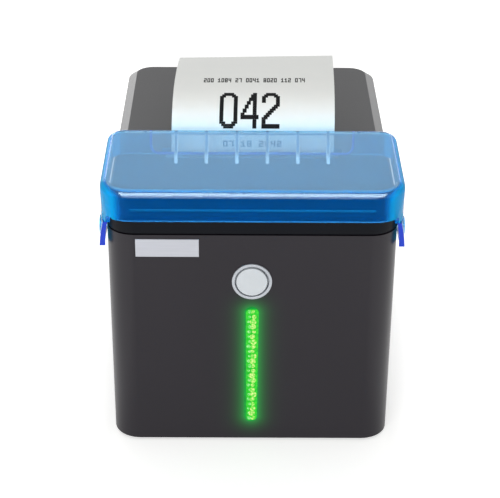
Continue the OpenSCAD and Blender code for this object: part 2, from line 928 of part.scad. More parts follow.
module mech_frame() {
  notch_r = bush_r + notch_gap;
  color("#b8bbbf")
    difference() {
      union() {
        both_sides() block([frame_x, frame_front, frame_low], [frame_out, frame_rear, frame_top]);
        block([-frame_out, frame_front, frame_low], [frame_out, frame_rear, frame_low + sheet_t]);
        block([-frame_out, cross_y, frame_top - cross_drop - cross_h],
          [frame_out, cross_y + sheet_t, frame_top - cross_drop]);
      }
      both_sides() {
        along_x(frame_x - 1, platen_y, platen_z) cylinder(r = notch_r, h = sheet_t + 2);
        block([frame_x - 1, platen_y - notch_r, platen_z],
          [frame_out + 1, platen_y + notch_r, frame_top + 1]);
      }
      along_x(-frame_out - 1, pinion_y, pinion_z) cylinder(r = shaft_hole_r, h = sheet_t + 2);
      along_x(-frame_out - 1, idler_y, idler_z) cylinder(r = axle_r, h = sheet_t + 2);
      ribbon_pass(frame_low, sheet_t);
    }
}

module idler_axle() {
  end_x = gear_x - seat_gap - axle_head_t;
  color("#d0d2d5")
    along_x(end_x, idler_y, idler_z) {
      cylinder(r = axle_r, h = -frame_x - end_x);
      cylinder(r = axle_head_r, h = axle_head_t);
    }
}

module thermal_head() {
  color("#e9e4d6")
    block([-head_x, ceramic_y, ceramic_low], [head_x, ceramic_y + ceramic_t, head_top]);
}

module head_heat_sink() {
  color("#a9adb2")
    difference() {
      block([-head_x, sink_y, sink_low], [head_x, ceramic_y, head_top]);
      for (x = [sink_pitch - head_x : sink_pitch : head_x - sink_pitch + 1])
        block([x - sink_groove_w / 2, sink_y - 1, sink_low + sink_edge],
          [x + sink_groove_w / 2, sink_y + sink_groove_d, head_top - sink_edge]);
    }
}

// Leaf spring between the cross plate and the heat sink: two upright legs and a slanted middle
module head_spring() {
  back = cross_y + sheet_t;
  front = sink_y - spring_t;
  color("#d9dadc")
    along_x(-spring_w / 2, 0, 0) linear_extrude(spring_w) {
      translate([back, spring_low]) square([spring_t, spring_leg]);
      translate([front, spring_low + spring_slant]) square([spring_t, spring_leg - spring_slant]);
      polygon([[back, spring_low], [sink_y, spring_low + spring_slant],
        [sink_y, spring_low + spring_slant + spring_t], [back, spring_low + spring_t]]);
    }
}

module feed_motor() {
  color("#8d9095") {
    along_x(-frame_x, pinion_y, pinion_z) cylinder(r = motor_r, h = motor_l);
    along_x(gear_x, pinion_y, pinion_z) cylinder(r = motor_shaft_r, h = 1 - gear_x - frame_x);
  }
}

module motor_pinion() {
  color("#e6e2d8")
    along_x(gear_x, pinion_y, pinion_z)
      gear(pinion_teeth, gear_t, motor_shaft_r + run_fit, pinion_phase);
}

module idler_gear() {
  color("#e6e2d8")
    along_x(gear_x, idler_y, idler_z) gear(idler_teeth, gear_t, axle_r + run_fit, idler_phase);
}

module platen_gear() {
  color("#e6e2d8")
    along_x(gear_x, platen_y, platen_z) gear(platen_teeth, gear_t, shaft_r, platen_phase);
}

module platen_shaft() {
  left = gear_x - shaft_over;
  right = arm_in + arm_t + shaft_over;
  color("#d0d2d5")
    along_x(left, platen_y, platen_z) cylinder(r = shaft_r, h = right - left);
}

module platen_rubber() {
  left = -paper_w / 2 - 1;
  color("#2a2a2c")
    difference() {
      along_x(left, platen_y, platen_z) cylinder(r = platen_r, h = -2 * left);
      along_x(left - 1, platen_y, platen_z) cylinder(r = shaft_r, h = 2 - 2 * left);
    }
}

module platen_bushes() {
  color("#c9a560")
    both_sides()
      difference() {
        along_x(bush_in, platen_y, platen_z) cylinder(r = bush_r, h = bush_out - bush_in);
        along_x(bush_in - 1, platen_y, platen_z) cylinder(r = shaft_r + run_fit, h = bush_out - bush_in + 2);
      }
}

// Cutter

module cutter_base() {
  color("#9b9ea3")
    difference() {
      block([-frame_out, frame_front, cutter_z], [frame_out, blade_rear, cutter_z + cutter_t]);
      translate([cutter_x, cutter_y, cutter_z - 1]) cylinder(r = shaft_hole_r, h = cutter_t + 2);
    }
}

module moving_blade() {
  color("#dfe1e4")
    translate([0, 0, blade_z]) linear_extrude(blade_t)
      difference() {
        polygon([[-blade_x, blade_front], [-blade_x, blade_rear], [0, blade_rear - blade_vee],
          [blade_x, blade_rear], [blade_x, blade_front]]);
        translate([cutter_x - shaft_hole_r, cutter_y - blade_travel - shaft_hole_r])
          square([2 * shaft_hole_r, blade_travel + 2 * shaft_hole_r]);
      }
}

module blade_rack() {
  back_x = rack_root_x + rack_w;
  low = rack_first - rack_pitch / 2;
  high = rack_last + rack_pitch / 2;
  color("#e6e2d8")
    translate([0, 0, rack_z]) linear_extrude(rack_t)
      polygon(concat([[back_x, low], [back_x, high], [rack_root_x, high]],
        [for (i = [rack_teeth - 1 : -1 : 0]) each rack_tooth(rack_first + i * rack_pitch)],
        [[rack_root_x, low]]));
}

// One tooth of the rack, which points towards the pinion
function rack_tooth(middle) =
  let (half = rack_pitch / 4 - backlash / 2)
  [for (side = [1, -1]) for (depth = side > 0 ? [tooth_root, -tooth_tip] : [-tooth_tip, tooth_root])
    [rack_x + depth, middle + side * (half + depth * tan(pressure_turn))]];

module cutter_pinion() {
  color("#e6e2d8")
    translate([cutter_x, cutter_y, rack_z]) gear(pinion_teeth, rack_t, motor_shaft_r + run_fit, 0);
}

module cutter_motor() {
  color("#8d9095")
    translate([cutter_x, cutter_y, cutter_z - cutter_motor_l]) {
      cylinder(r = cutter_motor_r, h = cutter_motor_l);
      cylinder(r = motor_shaft_r, h = rack_z + rack_t - cutter_z + cutter_motor_l);
    }
}

module head_ribbon() {
  left = ribbon_x - ribbon_w / 2;
  color("#d8d2c2")
    block([left, ribbon_y, board_top + connector_h], [left + ribbon_w, ribbon_y + ribbon_t, sink_low]);
}

module lid_switch() {
  low = [frame_out, platen_y + 1, platen_z - lid_switch_drop];
  color("#26262a") block(low, low + lid_switch_size);
}

// Lid

module lid_outline(inset, sides) {
  $fn = sides;
  r = corner_r - inset;
  x = side_x - inset;
  rear = y_rear - inset;
  translate([-x, lid_front]) square([2 * x, rear - r - lid_front]);
  translate([r - x, lid_front]) square([2 * (x - r), rear - lid_front]);
  for (cx = [r - x, x - r])
    translate([cx, rear - r]) circle(r);
}

module top_lid() {
  slot_wall = slot_rear + skin;
  blade_room = frame_out + 3;
  color("#56555a")
    difference() {
      hull() {
        translate([0, 0, z_upper]) linear_extrude(z_lid - bevel_h - z_upper) lid_outline(0, hull_fn);
        translate([0, 0, z_upper]) linear_extrude(z_lid - z_upper) lid_outline(bevel_w, hull_fn);
      }
      block([-inner_x, slot_wall, z_upper - 1], [inner_x, liner_rear + 2, z_skin]);
      both_sides()
        block([slot_w / 2 + skin, lid_front + skin, z_upper - 1], [inner_x, slot_wall + 1, z_skin]);
      block([-slot_w / 2, lid_front - 1, z_upper - 1], [slot_w / 2, slot_rear, z_lid + 1]);
      block([-blade_room, lid_front - 1, z_upper - 1], [blade_room, slot_wall + 1, fixed_z + blade_t]);
      liner_screw_places() cylinder(r = pilot_r, h = liner_t + liner_bite);
      along_x(gear_x - gear_room, platen_y, platen_z)
        cylinder(r = platen_teeth * gear_m / 2 + tooth_tip + gear_room, h = gear_t + 2 * gear_room);
      lid_rear_rounding();
      along_x(-knuckle_l / 2, hinge_y, hinge_z) cylinder(r = rod_r + run_fit, h = knuckle_l);
      lug_slots();
    }
}

module lid_rear_rounding() {
  difference() {
    block([-side_x - 1, hinge_y, z_upper - 1], [side_x + 1, y_rear + 1, hinge_z]);
    along_x(-side_x, hinge_y, hinge_z) cylinder(r = knuckle_r, h = body_w);
  }
}

module lug_slots() {
  x = hinge_lug_x - hinge_lug_w / 2 - clear;
  w = hinge_lug_w + 2 * clear;
  both_sides() {
    along_x(x, hinge_y, hinge_z) cylinder(r = knuckle_r + clear, h = w);
    block([x, hinge_y - knuckle_r - clear, z_upper - 1], [x + w, y_rear + 1, hinge_z]);
  }
}

module lid_liner() {
  arm_out = arm_in + arm_t;
  color("#3c3b40")
    difference() {
      union() {
        block([-liner_x, liner_front, z_skin - liner_t], [liner_x, liner_rear, z_skin]);
        both_sides() {
          along_x(arm_in, platen_y, platen_z) cylinder(r = arm_r, h = arm_t);
          block([arm_in, platen_y - arm_r / 2, platen_z], [arm_out, platen_y + 2 * arm_r, z_skin - eps]);
        }
      }
      liner_screw_places() translate([0, 0, -1]) cylinder(r = screw_hole_r, h = liner_t + 2);
      along_x(-through / 2, platen_y, platen_z) cylinder(r = shaft_r + run_fit, h = through);
    }
}

module liner_screws() {
  color("#b9bcc0")
    liner_screw_places() {
      translate([0, 0, -screw_head_t]) cylinder(r = screw_head_r, h = screw_head_t);
      cylinder(r = screw_r, h = liner_t + liner_bite);
    }
}

module fixed_blade() {
  edge = slot_rear - fixed_over;
  color("#dfe1e4")
    block([-blade_x, edge, fixed_z], [blade_x, edge + fixed_d, fixed_z + blade_t]);
}

module hinge_rod() {
  half = knuckle_l / 2 - rod_in;
  color("#d0d2d5")
    along_x(-half, hinge_y, hinge_z) cylinder(r = rod_r, h = 2 * half);
}

// Splash hood

module hood_form(inset, low) {
  $fn = hull_fn;
  top_r = max(hood_fillet - inset, 0.5);
  x = hood_x - inset;
  front_r = hood_front_r - inset;
  rear_r = hood_rear_r - inset;
  round_z = z_hood - inset - top_r;
  hull()
    for (side = [-1, 1])
      for (corner = [[hood_front + inset + front_r, front_r], [hood_rear - inset - rear_r, rear_r]])
        translate([side * (x - corner[1]), corner[0], low]) {
          cylinder(r = corner[1], h = round_z - low);
          translate([0, 0, round_z - low]) rotate_extrude() translate([corner[1] - top_r, 0]) circle(top_r);
        }
}

// Side outline of the space under the hood's rim, which leaves a rounded root over each lug
module rim_outline() {
  root_z = z_rim - rim_blend;
  span = hood_rear - hood_front + 2;
  translate([hood_front - 1, z_hood_low - 2]) square([span, root_z - z_hood_low + 2]);
  difference() {
    translate([hood_front - 1, root_z - eps]) square([span, rim_blend + eps]);
    translate([lug_front - rim_blend, root_z - 1]) square([lug_w + 2 * rim_blend, rim_blend + 2]);
  }
  for (y = [lug_front - rim_blend, lug_front + lug_w + rim_blend])
    intersection() {
      translate([y, root_z]) circle(rim_blend);
      translate([y - rim_blend, root_z - eps]) square([2 * rim_blend, rim_blend + eps]);
    }
}

// One pivot lug, flaring outwards as it goes down
module hood_lug() {
  low_x = lug_x_out - lug_t;
  root_z = z_rim - rim_blend + eps;
  facing(0, lug_in + lug_w, 0) linear_extrude(lug_w)
    polygon([[hood_x - hood_wall, root_z], [hood_x, root_z], [lug_x_out, z_hood_low], [low_x, z_hood_low]]);
  along_x(low_x, pivot_y, pivot_z) cylinder(r = pivot_head_r + pivot_sink + 1, h = lug_t);
}

module splash_hood() {
  color("#2f8fdc", 0.5)
    difference() {
      union() {
        difference() {
          hood_form(0, z_hood_low);
          hood_form(hood_wall, z_hood_low - hood_wall);
          along_x(-through / 2, 0, 0) linear_extrude(through) rim_outline();
          block([hood_wall - hood_x - eps, hood_rear - hood_rear_r, z_hood_low - 1],
            [hood_x - hood_wall + eps, hood_rear + 1, z_sill]);
          paper_window();
        }
        both_sides() hood_lug();
        guide_fins();
      }
      along_x(-through / 2, pivot_y, pivot_z) cylinder(r = pivot_r + run_fit, h = through);
      both_sides()
        along_x(lug_x_out - pivot_head_t, pivot_y, pivot_z)
          cylinder(r = pivot_head_r + seat_gap, h = pivot_head_t + 1);
    }
}

module paper_window() {
  r = window_r;
  half = window_w / 2;
  top = z_hood - hood_fillet;
  low = z_sill + sill_h;
  translate([0, hood_rear + 1, 0]) rotate([90, 0, 0]) linear_extrude(hood_wall + 2) {
    translate([-half, low + r]) square([window_w, top - low - r]);
    translate([r - half, low]) square([window_w - 2 * r, r + eps]);
    for (x = [r - half, half - r])
      translate([x, low + r]) circle(r);
  }
}

module guide_fins() {
  inner = hood_rear - hood_wall;
  root = hood_rear - hood_wall / 2;
  high = z_hood - hood_wall - fin_drop;
  for (i = [0 : fin_count - 1])
    along_x((i - (fin_count - 1) / 2) * fin_pitch - fin_t / 2, 0, 0) linear_extrude(fin_t)
      polygon([[root, z_sill], [root, high], [inner - fin_drop, high], [inner - fin_d, z_sill]]);
}

// Shoulder screws that carry the hood, each with its nut inside the housing
module hood_pivots() {
  nut_x = inner_x - pivot_nut_t;
  head_x = lug_x_out - pivot_head_t + run_fit;
  end_x = lug_x_out - pivot_sink;
  color("#c4c7cb")
    both_sides() {
      along_x(nut_x, pivot_y, pivot_z) cylinder(r = pivot_nut_r, h = pivot_nut_t);
      along_x(nut_x, pivot_y, pivot_z) cylinder(r = pivot_r, h = end_x - nut_x);
      along_x(head_x, pivot_y, pivot_z) cylinder(r = pivot_head_r, h = end_x - head_x);
    }
}

// Circuit board, ports and switch

module main_board() {
  color("#1f5a3c")
    difference() {
      block([-board_x, board_front, z_base + board_z], [board_x, board_rear, board_top]);
      standoff_places() translate([0, 0, board_z - 1]) cylinder(r = screw_hole_r, h = board_t + 2);
    }
}

module board_screws() {
  color("#b9bcc0")
    standoff_places() translate([0, 0, board_z + board_t]) {
      cylinder(r = screw_head_r, h = screw_head_t);
      translate([0, 0, -board_screw_l]) cylinder(r = screw_r, h = board_screw_l + 1);
    }
}

module board_chips() {
  // Corner and size of each chip, then the place, radius and height of each capacitor
  chips = [[[-8, 10], [16, 16, 1.6]], [[16, 14], [10, 8, 1.4]], [[-28, 14], [10, 6, 1.6]]];
  cans = [[[30, 36], 4, 9], [[20, 40], 3, 8]];
  color("#232327") {
    for (c = chips)
      translate([c[0][0], c[0][1], board_top]) cube(c[1]);
    for (c = cans)
      translate([c[0][0], c[0][1], board_top]) cylinder(r = c[1], h = c[2]);
    translate([ribbon_x - connector_w / 2, ribbon_y - connector_d / 2, board_top])
      cube([connector_w, connector_d, connector_h]);
  }
}

module buzzer() {
  color("#17171a")
    translate([-standoff_x + standoff_r + buzzer_r, board_front + 3 * buzzer_r, board_top])
      difference() {
        cylinder(r = buzzer_r, h = buzzer_h);
        translate([0, 0, buzzer_h / 2]) cylinder(r = buzzer_hole_r, h = buzzer_h);
      }
}

module port_body(x, size) {
  block([x - size[0] / 2, port_face - size[1], board_top], [x + size[0] / 2, port_face, board_top + size[2]]);
}

// Hollow of a socket, open towards the rear
module port_hollow(x, size, depth) {
  block([x - size[0] / 2 + socket_wall, port_face - depth, board_top + socket_wall],
    [x + size[0] / 2 - socket_wall, port_face + 1, board_top + size[2] - socket_wall]);
}

module power_jack() {
  depth = port_face - y_front;
  mid = board_top + jack_size[2] / 2;
  color("#1c1c1f") {
    difference() {
      port_body(jack_x, jack_size);
      facing(jack_x, depth + 1, mid) cylinder(r = jack_r, h = jack_depth + 1);
    }
    facing(jack_x, depth - 1, mid) cylinder(r = jack_pin_r, h = jack_depth);
  }
}

module usb_port() {
  mid = board_top + usb_size[2] / 2;
  back = port_face - usb_depth - eps;
  color("#c9ccd1") {
    difference() {
      port_body(usb_x, usb_size);
      port_hollow(usb_x, usb_size, usb_depth);
    }
    translate([usb_x - usb_tongue[0] / 2, back, mid - usb_tongue[2] / 2]) cube(usb_tongue);
  }
}

module lan_port() {
  color("#b9bdc3")
    difference() {
      port_body(lan_x, lan_size);
      port_hollow(lan_x, lan_size, lan_depth);
    }
}

module drawer_port() {
  color("#1c1c1f")
    difference() {
      port_body(drawer_x, drawer_size);
      port_hollow(drawer_x, drawer_size, drawer_depth);
    }
}

module switch_frame() {
  x = switch_w / 2;
  z = switch_h / 2;
  color("#1c1c1f")
    difference() {
      translate([switch_x, y_rear, switch_z])
        difference() {
          union() {
            block([-x - switch_rim, 0, -z - switch_rim], [x + switch_rim, 1, z + switch_rim]);
            block([-x, -switch_d, -z], [x, eps, z]);
          }
          block([switch_wall - x, -well_d, switch_wall - z], [x - switch_wall, 2, z - switch_wall]);
        }
      rocker_pin(run_fit);
    }
}

module rocker_pin(play) {
  half = switch_w / 2 - switch_wall + rocker_pin_l + play;
  along_x(switch_x - half, y_rear - rocker_in, switch_z) cylinder(r = rocker_pin_r + play, h = 2 * half);
}

// The rocker turns about a pin along X, and its upper end stands out when it is switched off
module switch_rocker() {
  x = switch_w / 2 - switch_wall - rocker_gap;
  z = switch_h / 2 - switch_wall - rocker_end_gap;
  edge = 0.4;
  low_stand = rocker_stand / 3;
  back = 2 * rocker_pin_r;
  color("#2a2a2e") {
    along_x(switch_x - x, y_rear - rocker_in, switch_z) linear_extrude(2 * x)
      polygon([[rocker_in - 3 * edge, -z], [rocker_in + low_stand, edge - z], [rocker_in, 0],
        [rocker_in + rocker_stand, z - edge], [rocker_in - edge, z], [-rocker_pin_r, z / 2], [-back, 0],
        [-rocker_pin_r, -z / 2]]);
    rocker_pin(0);
  }
}

module release_button() {
  y = release_w / 2;
  z = release_h / 2;
  lip = release_lip;
  color("#2b2a2f")
    translate([0, release_y, release_z]) {
      block([inner_x - release_d, -y, -z], [side_x + release_stand, y, z]);
      block([inner_x - release_d, -y - lip, -z - lip], [inner_x - clear, y + lip, z + lip]);
    }
}

main_housing();
base_pan();
rubber_feet();
base_screws();
upper_frame();
tear_bar();
name_plate();
button_bezel();
feed_button();
light_bar();
panel_board();
panel_leds();
panel_switch();
panel_screws();
roll_bucket();
paper_roll();
roll_core();
paper_sensor();
mech_frame();
idler_axle();
thermal_head();
head_heat_sink();
head_spring();
feed_motor();
motor_pinion();
idler_gear();
cutter_base();
moving_blade();
blade_rack();
cutter_motor();
cutter_pinion();
head_ribbon();
lid_switch();
top_lid();
lid_liner();
liner_screws();
fixed_blade();
platen_shaft();
platen_rubber();
platen_gear();
platen_bushes();
hinge_rod();
splash_hood();
hood_pivots();
ticket();
main_board();
board_chips();
board_screws();
buzzer();
power_jack();
usb_port();
lan_port();
drawer_port();
switch_frame();
switch_rocker();
release_button();
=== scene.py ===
# Kitchen ticket printer: finishes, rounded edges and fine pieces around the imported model.
# Lengths in the dictionaries are in mm and angles in degrees, unless a note says otherwise.
import json
from functools import partial
from math import copysign, cos, floor, hypot, pi, radians, sin, sqrt

import bmesh
import bpy
from mathutils import Matrix, Vector

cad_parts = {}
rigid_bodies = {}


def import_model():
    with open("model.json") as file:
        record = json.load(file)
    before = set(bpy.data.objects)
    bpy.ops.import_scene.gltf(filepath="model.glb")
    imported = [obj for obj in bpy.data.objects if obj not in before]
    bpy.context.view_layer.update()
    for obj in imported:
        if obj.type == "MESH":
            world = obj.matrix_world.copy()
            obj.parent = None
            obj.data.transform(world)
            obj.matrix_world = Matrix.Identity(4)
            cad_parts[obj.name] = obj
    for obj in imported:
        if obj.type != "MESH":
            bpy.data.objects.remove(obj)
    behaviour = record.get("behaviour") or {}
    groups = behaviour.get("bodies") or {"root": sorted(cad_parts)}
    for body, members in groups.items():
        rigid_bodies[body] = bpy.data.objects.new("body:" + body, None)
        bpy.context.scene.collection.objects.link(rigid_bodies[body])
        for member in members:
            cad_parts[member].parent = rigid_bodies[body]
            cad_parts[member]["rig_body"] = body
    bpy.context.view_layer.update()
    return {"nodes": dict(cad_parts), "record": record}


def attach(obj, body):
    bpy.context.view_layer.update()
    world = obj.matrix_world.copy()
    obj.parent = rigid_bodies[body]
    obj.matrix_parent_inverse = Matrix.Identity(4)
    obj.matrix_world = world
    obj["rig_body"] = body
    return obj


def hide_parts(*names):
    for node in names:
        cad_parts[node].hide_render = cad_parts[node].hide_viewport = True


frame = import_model()
nodes = frame["nodes"]
scene = bpy.context.scene
scene.view_settings.view_transform = "Standard"
mm = 0.001
right, back, up = Vector((1, 0, 0)), Vector((0, 1, 0)), Vector((0, 0, 1))
slotOf = {row["node"]: row["material_slot"] for row in frame["record"]["subparts"]}
bodyOf = {name: thing["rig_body"] for name, thing in nodes.items()}
print("frame loaded:", len(nodes), "nodes")


def addObject(name, data):
    made = bpy.data.objects.new(name, data)
    scene.collection.objects.link(made)
    return made


# Camera, fitted to the photograph's straight edges; its place is in metres

cameraFit = {"place": (-0.00512, -0.68918, 0.44102), "yaw": 0.390, "pitch": 29.077, "roll": 0.45,
             "lens": 108.13, "sensor": 36.0}


def aimCamera(fit):
    yaw, pitch, roll = (radians(fit[k]) for k in ("yaw", "pitch", "roll"))
    turns = ((-yaw, "Z"), (pi / 2 - pitch, "X"), (roll, "Z"))
    heading, tilt, bank = (Matrix.Rotation(angle, 4, axis) for angle, axis in turns)
    data = bpy.data.cameras.new("camera")
    data.lens = fit["lens"]
    data.sensor_width = fit["sensor"]
    data.sensor_fit = "HORIZONTAL"
    scene.camera = addObject("camera", data)
    scene.camera.matrix_world = Matrix.Translation(fit["place"]) @ heading @ tilt @ bank


aimCamera(cameraFit)


# Helpers for materials

def linear(hexCode, scale=1.0):
    # sRGB hex to the linear colour that shaders take
    parts = [int(hexCode[i:i + 2], 16) / 255 for i in (1, 3, 5)]
    return [scale * (c / 12.92 if c <= 0.04045 else ((c + 0.055) / 1.055) ** 2.4) for c in parts] + [1.0]


def setInputs(node, inputs):
    # a value is a number, a hex colour, a socket, or a node, which gives its first live output
    for name, value in inputs.items():
        if isinstance(value, bpy.types.Node):
            value = next(socket for socket in value.outputs if socket.enabled)
        if isinstance(value, bpy.types.NodeSocket):
            node.id_data.links.new(value, node.inputs[name])
        else:
            node.inputs[name].default_value = linear(value) if isinstance(value, str) else value


def addNode(tree, kind, inputs, operation=None, **settings):
    made = tree.nodes.new("ShaderNode" + kind)
    if operation:
        made.operation = operation
    if kind == "Mix":
        made.data_type = "RGBA"  # what is mixed here is always colour
    for name, value in settings.items():
        setattr(made, name, value)
    setInputs(made, inputs)
    return made


def newMaterial(name):
    # a material, what adds nodes to it, the skin it starts with, and places on the piece for patterns
    material = bpy.data.materials.new(name)
    material.use_nodes = True
    tree = material.node_tree
    add = partial(addNode, tree)
    return material, add, tree.nodes["Principled BSDF"], add("TexCoord", {}).outputs["Object"]


# Helpers for meshes

def meshObject(name, mesh, materials):
    data = bpy.data.meshes.new(name)
    mesh.to_mesh(data)
    mesh.free()
    for material in materials:
        data.materials.append(material)
    return addObject(name, data)


def pieceFromMesh(name, mesh, body, slot, *materials, crease=None):
    # turns a bmesh into a piece that rides on a body, in its slot's finish if no other is given;
    # with a crease it is smooth wherever the surface turns by less than that
    for face in mesh.faces if crease else ():
        face.smooth = True
    for edge in mesh.edges if crease else ():
        edge.smooth = edge.is_manifold and edge.calc_face_angle(0) < radians(crease)
    piece = meshObject(name, mesh, materials or [finishes[slot]])
    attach(piece, body)
    return piece


def standIn(node, ending, mesh, *materials, crease=40, even=True):
    # a piece that takes a CAD node's place, on the same body and in its slot's finish unless other materials
    # are given
    piece = pieceFromMesh(node + ending, mesh, bodyOf[node], slotOf[node], *materials, crease=crease)
    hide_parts(node)
    if even:  # large flat faces keep flat shading beside their rounded edges
        weighted = piece.modifiers.new("evenNormals", "WEIGHTED_NORMAL")
        weighted.keep_sharp = True
        weighted.weight = 80


def cleanCopy(node):
    mesh = bmesh.new()
    mesh.from_mesh(nodes[node].data)
    bmesh.ops.remove_doubles(mesh, verts=mesh.verts, dist=0.002 * mm)
    bmesh.ops.dissolve_limit(mesh, angle_limit=radians(0.4), verts=mesh.verts, edges=mesh.edges)
    mesh.normal_update()
    return mesh


def beyond(way, limit):
    # picks the edges that lie past a limit along a direction
    return lambda edge: all(v.co.dot(way) > limit * mm for v in edge.verts)


def sharpEdges(mesh, turn, pick):
    # the outward edges that pick chooses and where the surface turns by more than so many degrees
    return [edge for edge in mesh.edges if edge.is_manifold and edge.is_convex
            and edge.calc_face_angle(0) > radians(turn) and pick(edge)]


def roundEdges(mesh, edges, radius, steps=3, slide=False):
    bmesh.ops.bevel(mesh, geom=edges, offset=radius * mm, offset_type="OFFSET", segments=steps, profile=0.5,
                    affect="EDGES", clamp_overlap=True, loop_slide=slide)


def roundedPiece(node, radius, pick, turn=28, steps=3, reshape=None):
    # a copy of a CAD node with its outer edges rounded, as the mould leaves them
    mesh = cleanCopy(node)
    for vertex in mesh.verts if reshape else ():
        vertex.co = reshape(vertex.co)
    roundEdges(mesh, sharpEdges(mesh, turn, pick), radius, steps, slide=True)
    standIn(node, "_rounded", mesh)


def faceOutward(mesh):
    bmesh.ops.recalc_face_normals(mesh, faces=mesh.faces)


def loopEdges(mesh, points):
    return [mesh.edges.new(pair) for pair in zip(points, points[1:] + points[:1])]


def wallBetween(mesh, one, two):
    # a band of faces between two loops of as many points
    for k in range(len(one)):
        n = (k + 1) % len(one)
        mesh.faces.new((one[k], one[n], two[n], two[k]))


def gridFaces(mesh, grid):
    for one, two in zip(grid, grid[1:]):
        for k in range(len(one) - 1):
            mesh.faces.new((one[k], one[k + 1], two[k + 1], two[k]))


def gridRim(grid):
    # the points round a grid's border, in order
    return grid[0] + [row[-1] for row in grid[1:]] + grid[-1][-2::-1] + [row[0] for row in grid[-2:0:-1]]


def closedSheet(mesh, front, rear):
    # a thin sheet between two grids of as many points
    gridFaces(mesh, front)
    gridFaces(mesh, rear)
    wallBetween(mesh, gridRim(front), gridRim(rear))


def sweep(mesh, points, radius, around):
    # a round rod along a path, closed at both ends
    points = [Vector(point) for point in points]
    rings = []
    for i, here in enumerate(points):
        run = (points[min(i + 1, len(points) - 1)] - points[max(i - 1, 0)]).normalized()
        side = run.cross(back if abs(run.y) < 0.9 else right).normalized()
        other = run.cross(side)
        rings.append([mesh.verts.new((here + (side * cos(a) + other * sin(a)) * radius) * mm)
                      for a in (2 * pi * k / around for k in range(around))])
    for one, two in zip(rings, rings[1:]):
        wallBetween(mesh, one, two)
    mesh.faces.new(rings[0])
    mesh.faces.new(rings[-1])
    faceOutward(mesh)


def rods(name, paths, radius, around, body, slot, *materials):
    # one piece of round rods
    mesh = bmesh.new()
    for path in paths:
        sweep(mesh, path, radius, around)
    pieceFromMesh(name, mesh, body, slot, *materials, crease=60)


# Materials

# the painted glow round the light bar: where the bar is, how far the glow reaches, its colour and strength
paintedLampGlow = {"barZ": 44.1, "barStraight": 29.0, "barHalf": 3.2, "reach": 2.5, "frontY": -88.9,
            "colour": "#00b43c", "strength": 0.58}


def paintedLampSpill(add, place):
    # painted light: emission on the wall round the green light bar stands in for the bar's light, strongest
    # at the bar and fading over reach
    axes = add("SeparateXYZ", {"Vector": place}).outputs
    rise = add("Math", {0: axes["Z"], 1: paintedLampGlow["barZ"] * mm}, "SUBTRACT")
    far = add("Math", {0: rise}, "ABSOLUTE")
    past = add("Math", {0: far, 1: paintedLampGlow["barStraight"] * mm}, "SUBTRACT")
    over = add("Math", {0: past, 1: 0.0}, "MAXIMUM")
    both = add("CombineXYZ", {"X": axes["X"], "Z": over})
    away = add("VectorMath", {0: both}, "LENGTH")
    near = paintedLampGlow["barHalf"] * mm
    steps = add("MapRange", {"Value": away, 1: near, 2: near + paintedLampGlow["reach"] * mm, 4: -1.0}, clamp=False)
    fade = add("Math", {0: steps}, "EXPONENT")
    onFront = add("Math", {0: axes["Y"], 1: paintedLampGlow["frontY"] * mm}, "LESS_THAN")
    level = add("Math", {0: fade, 1: onFront}, "MULTIPLY")
    return add("Math", {0: level, 1: paintedLampGlow["strength"]}, "MULTIPLY")


def mouldedAbs(name, colour, tint, roughness, grainMm=0.9, specular=0.5, lit=False):
    # ABS moulded against a spark-eroded steel face: an even dry grain that breaks up every reflection.
    # The real grain is about 0.1 mm, drawn coarser so that it shows.
    material, add, skin, place = newMaterial(name)
    grain = add("TexNoise", {"Vector": place, "Scale": 1 / (grainMm * mm), "Detail": 3.0})
    flow = add("TexNoise", {"Vector": place, "Scale": 1 / (32 * mm)})
    shade = add("Mix", {0: flow, 6: colour, 7: tint})
    rough = add("MapRange", {"Value": grain, 3: roughness - 0.05, 4: roughness + 0.05})
    bump = add("Bump", {"Height": grain, "Strength": 0.5, "Distance": 0.012 * mm})
    setInputs(skin, {
        "Base Color": shade, "Roughness": rough, "Normal": bump, "IOR": 1.53,
        "Specular IOR Level": specular})
    # painted light: the light bar's glow, put on the housing as emission
    if lit:
        spill = paintedLampSpill(add, place)
        setInputs(skin, {"Emission Color": paintedLampGlow["colour"], "Emission Strength": spill})
    return material


def brushedMetal(name, colour, roughness, lineMm=0.35, along=(1, 30, 30), metallic=1.0):
    # metal finished with a belt: fine parallel lines that draw highlights out sideways
    # (the real lines are finer than 0.1 mm, drawn coarser so that they show)
    material, add, skin, place = newMaterial(name)
    drawn = add("Mapping", {"Vector": place, "Scale": along})
    lines = add("TexNoise", {"Vector": drawn, "Scale": 1 / (lineMm * 30 * mm), "Detail": 3.0})
    shade = add("Mix", {0: lines, 6: linear(colour, 0.82), 7: colour})
    rough = add("MapRange", {"Value": lines, 3: roughness - 0.08, 4: roughness + 0.08})
    bump = add("Bump", {"Height": lines, "Strength": 0.25, "Distance": 0.01 * mm})
    setInputs(skin, {"Base Color": shade, "Metallic": metallic, "Roughness": rough, "Normal": bump})
    return material


def speckled(name, colour, tint, roughness, speckMm, ior=1.5, depth=0.01, subsurface=0.0):
    # a plain moulded or fired body with a faint mottle: rubber, acetal, ceramic, card
    material, add, skin, place = newMaterial(name)
    mottle = add("TexNoise", {"Vector": place, "Scale": 1 / (speckMm * mm), "Detail": 4.0})
    shade = add("Mix", {0: mottle, 6: colour, 7: tint})
    rough = add("MapRange", {"Value": mottle, 3: roughness - 0.06, 4: roughness + 0.06})
    bump = add("Bump", {"Height": mottle, "Strength": 0.4, "Distance": depth * mm})
    setInputs(skin, {
        "Base Color": shade, "Roughness": rough, "Normal": bump, "IOR": ior,
        "Subsurface Weight": subsurface, "Subsurface Scale": 0.8 * mm})
    return material


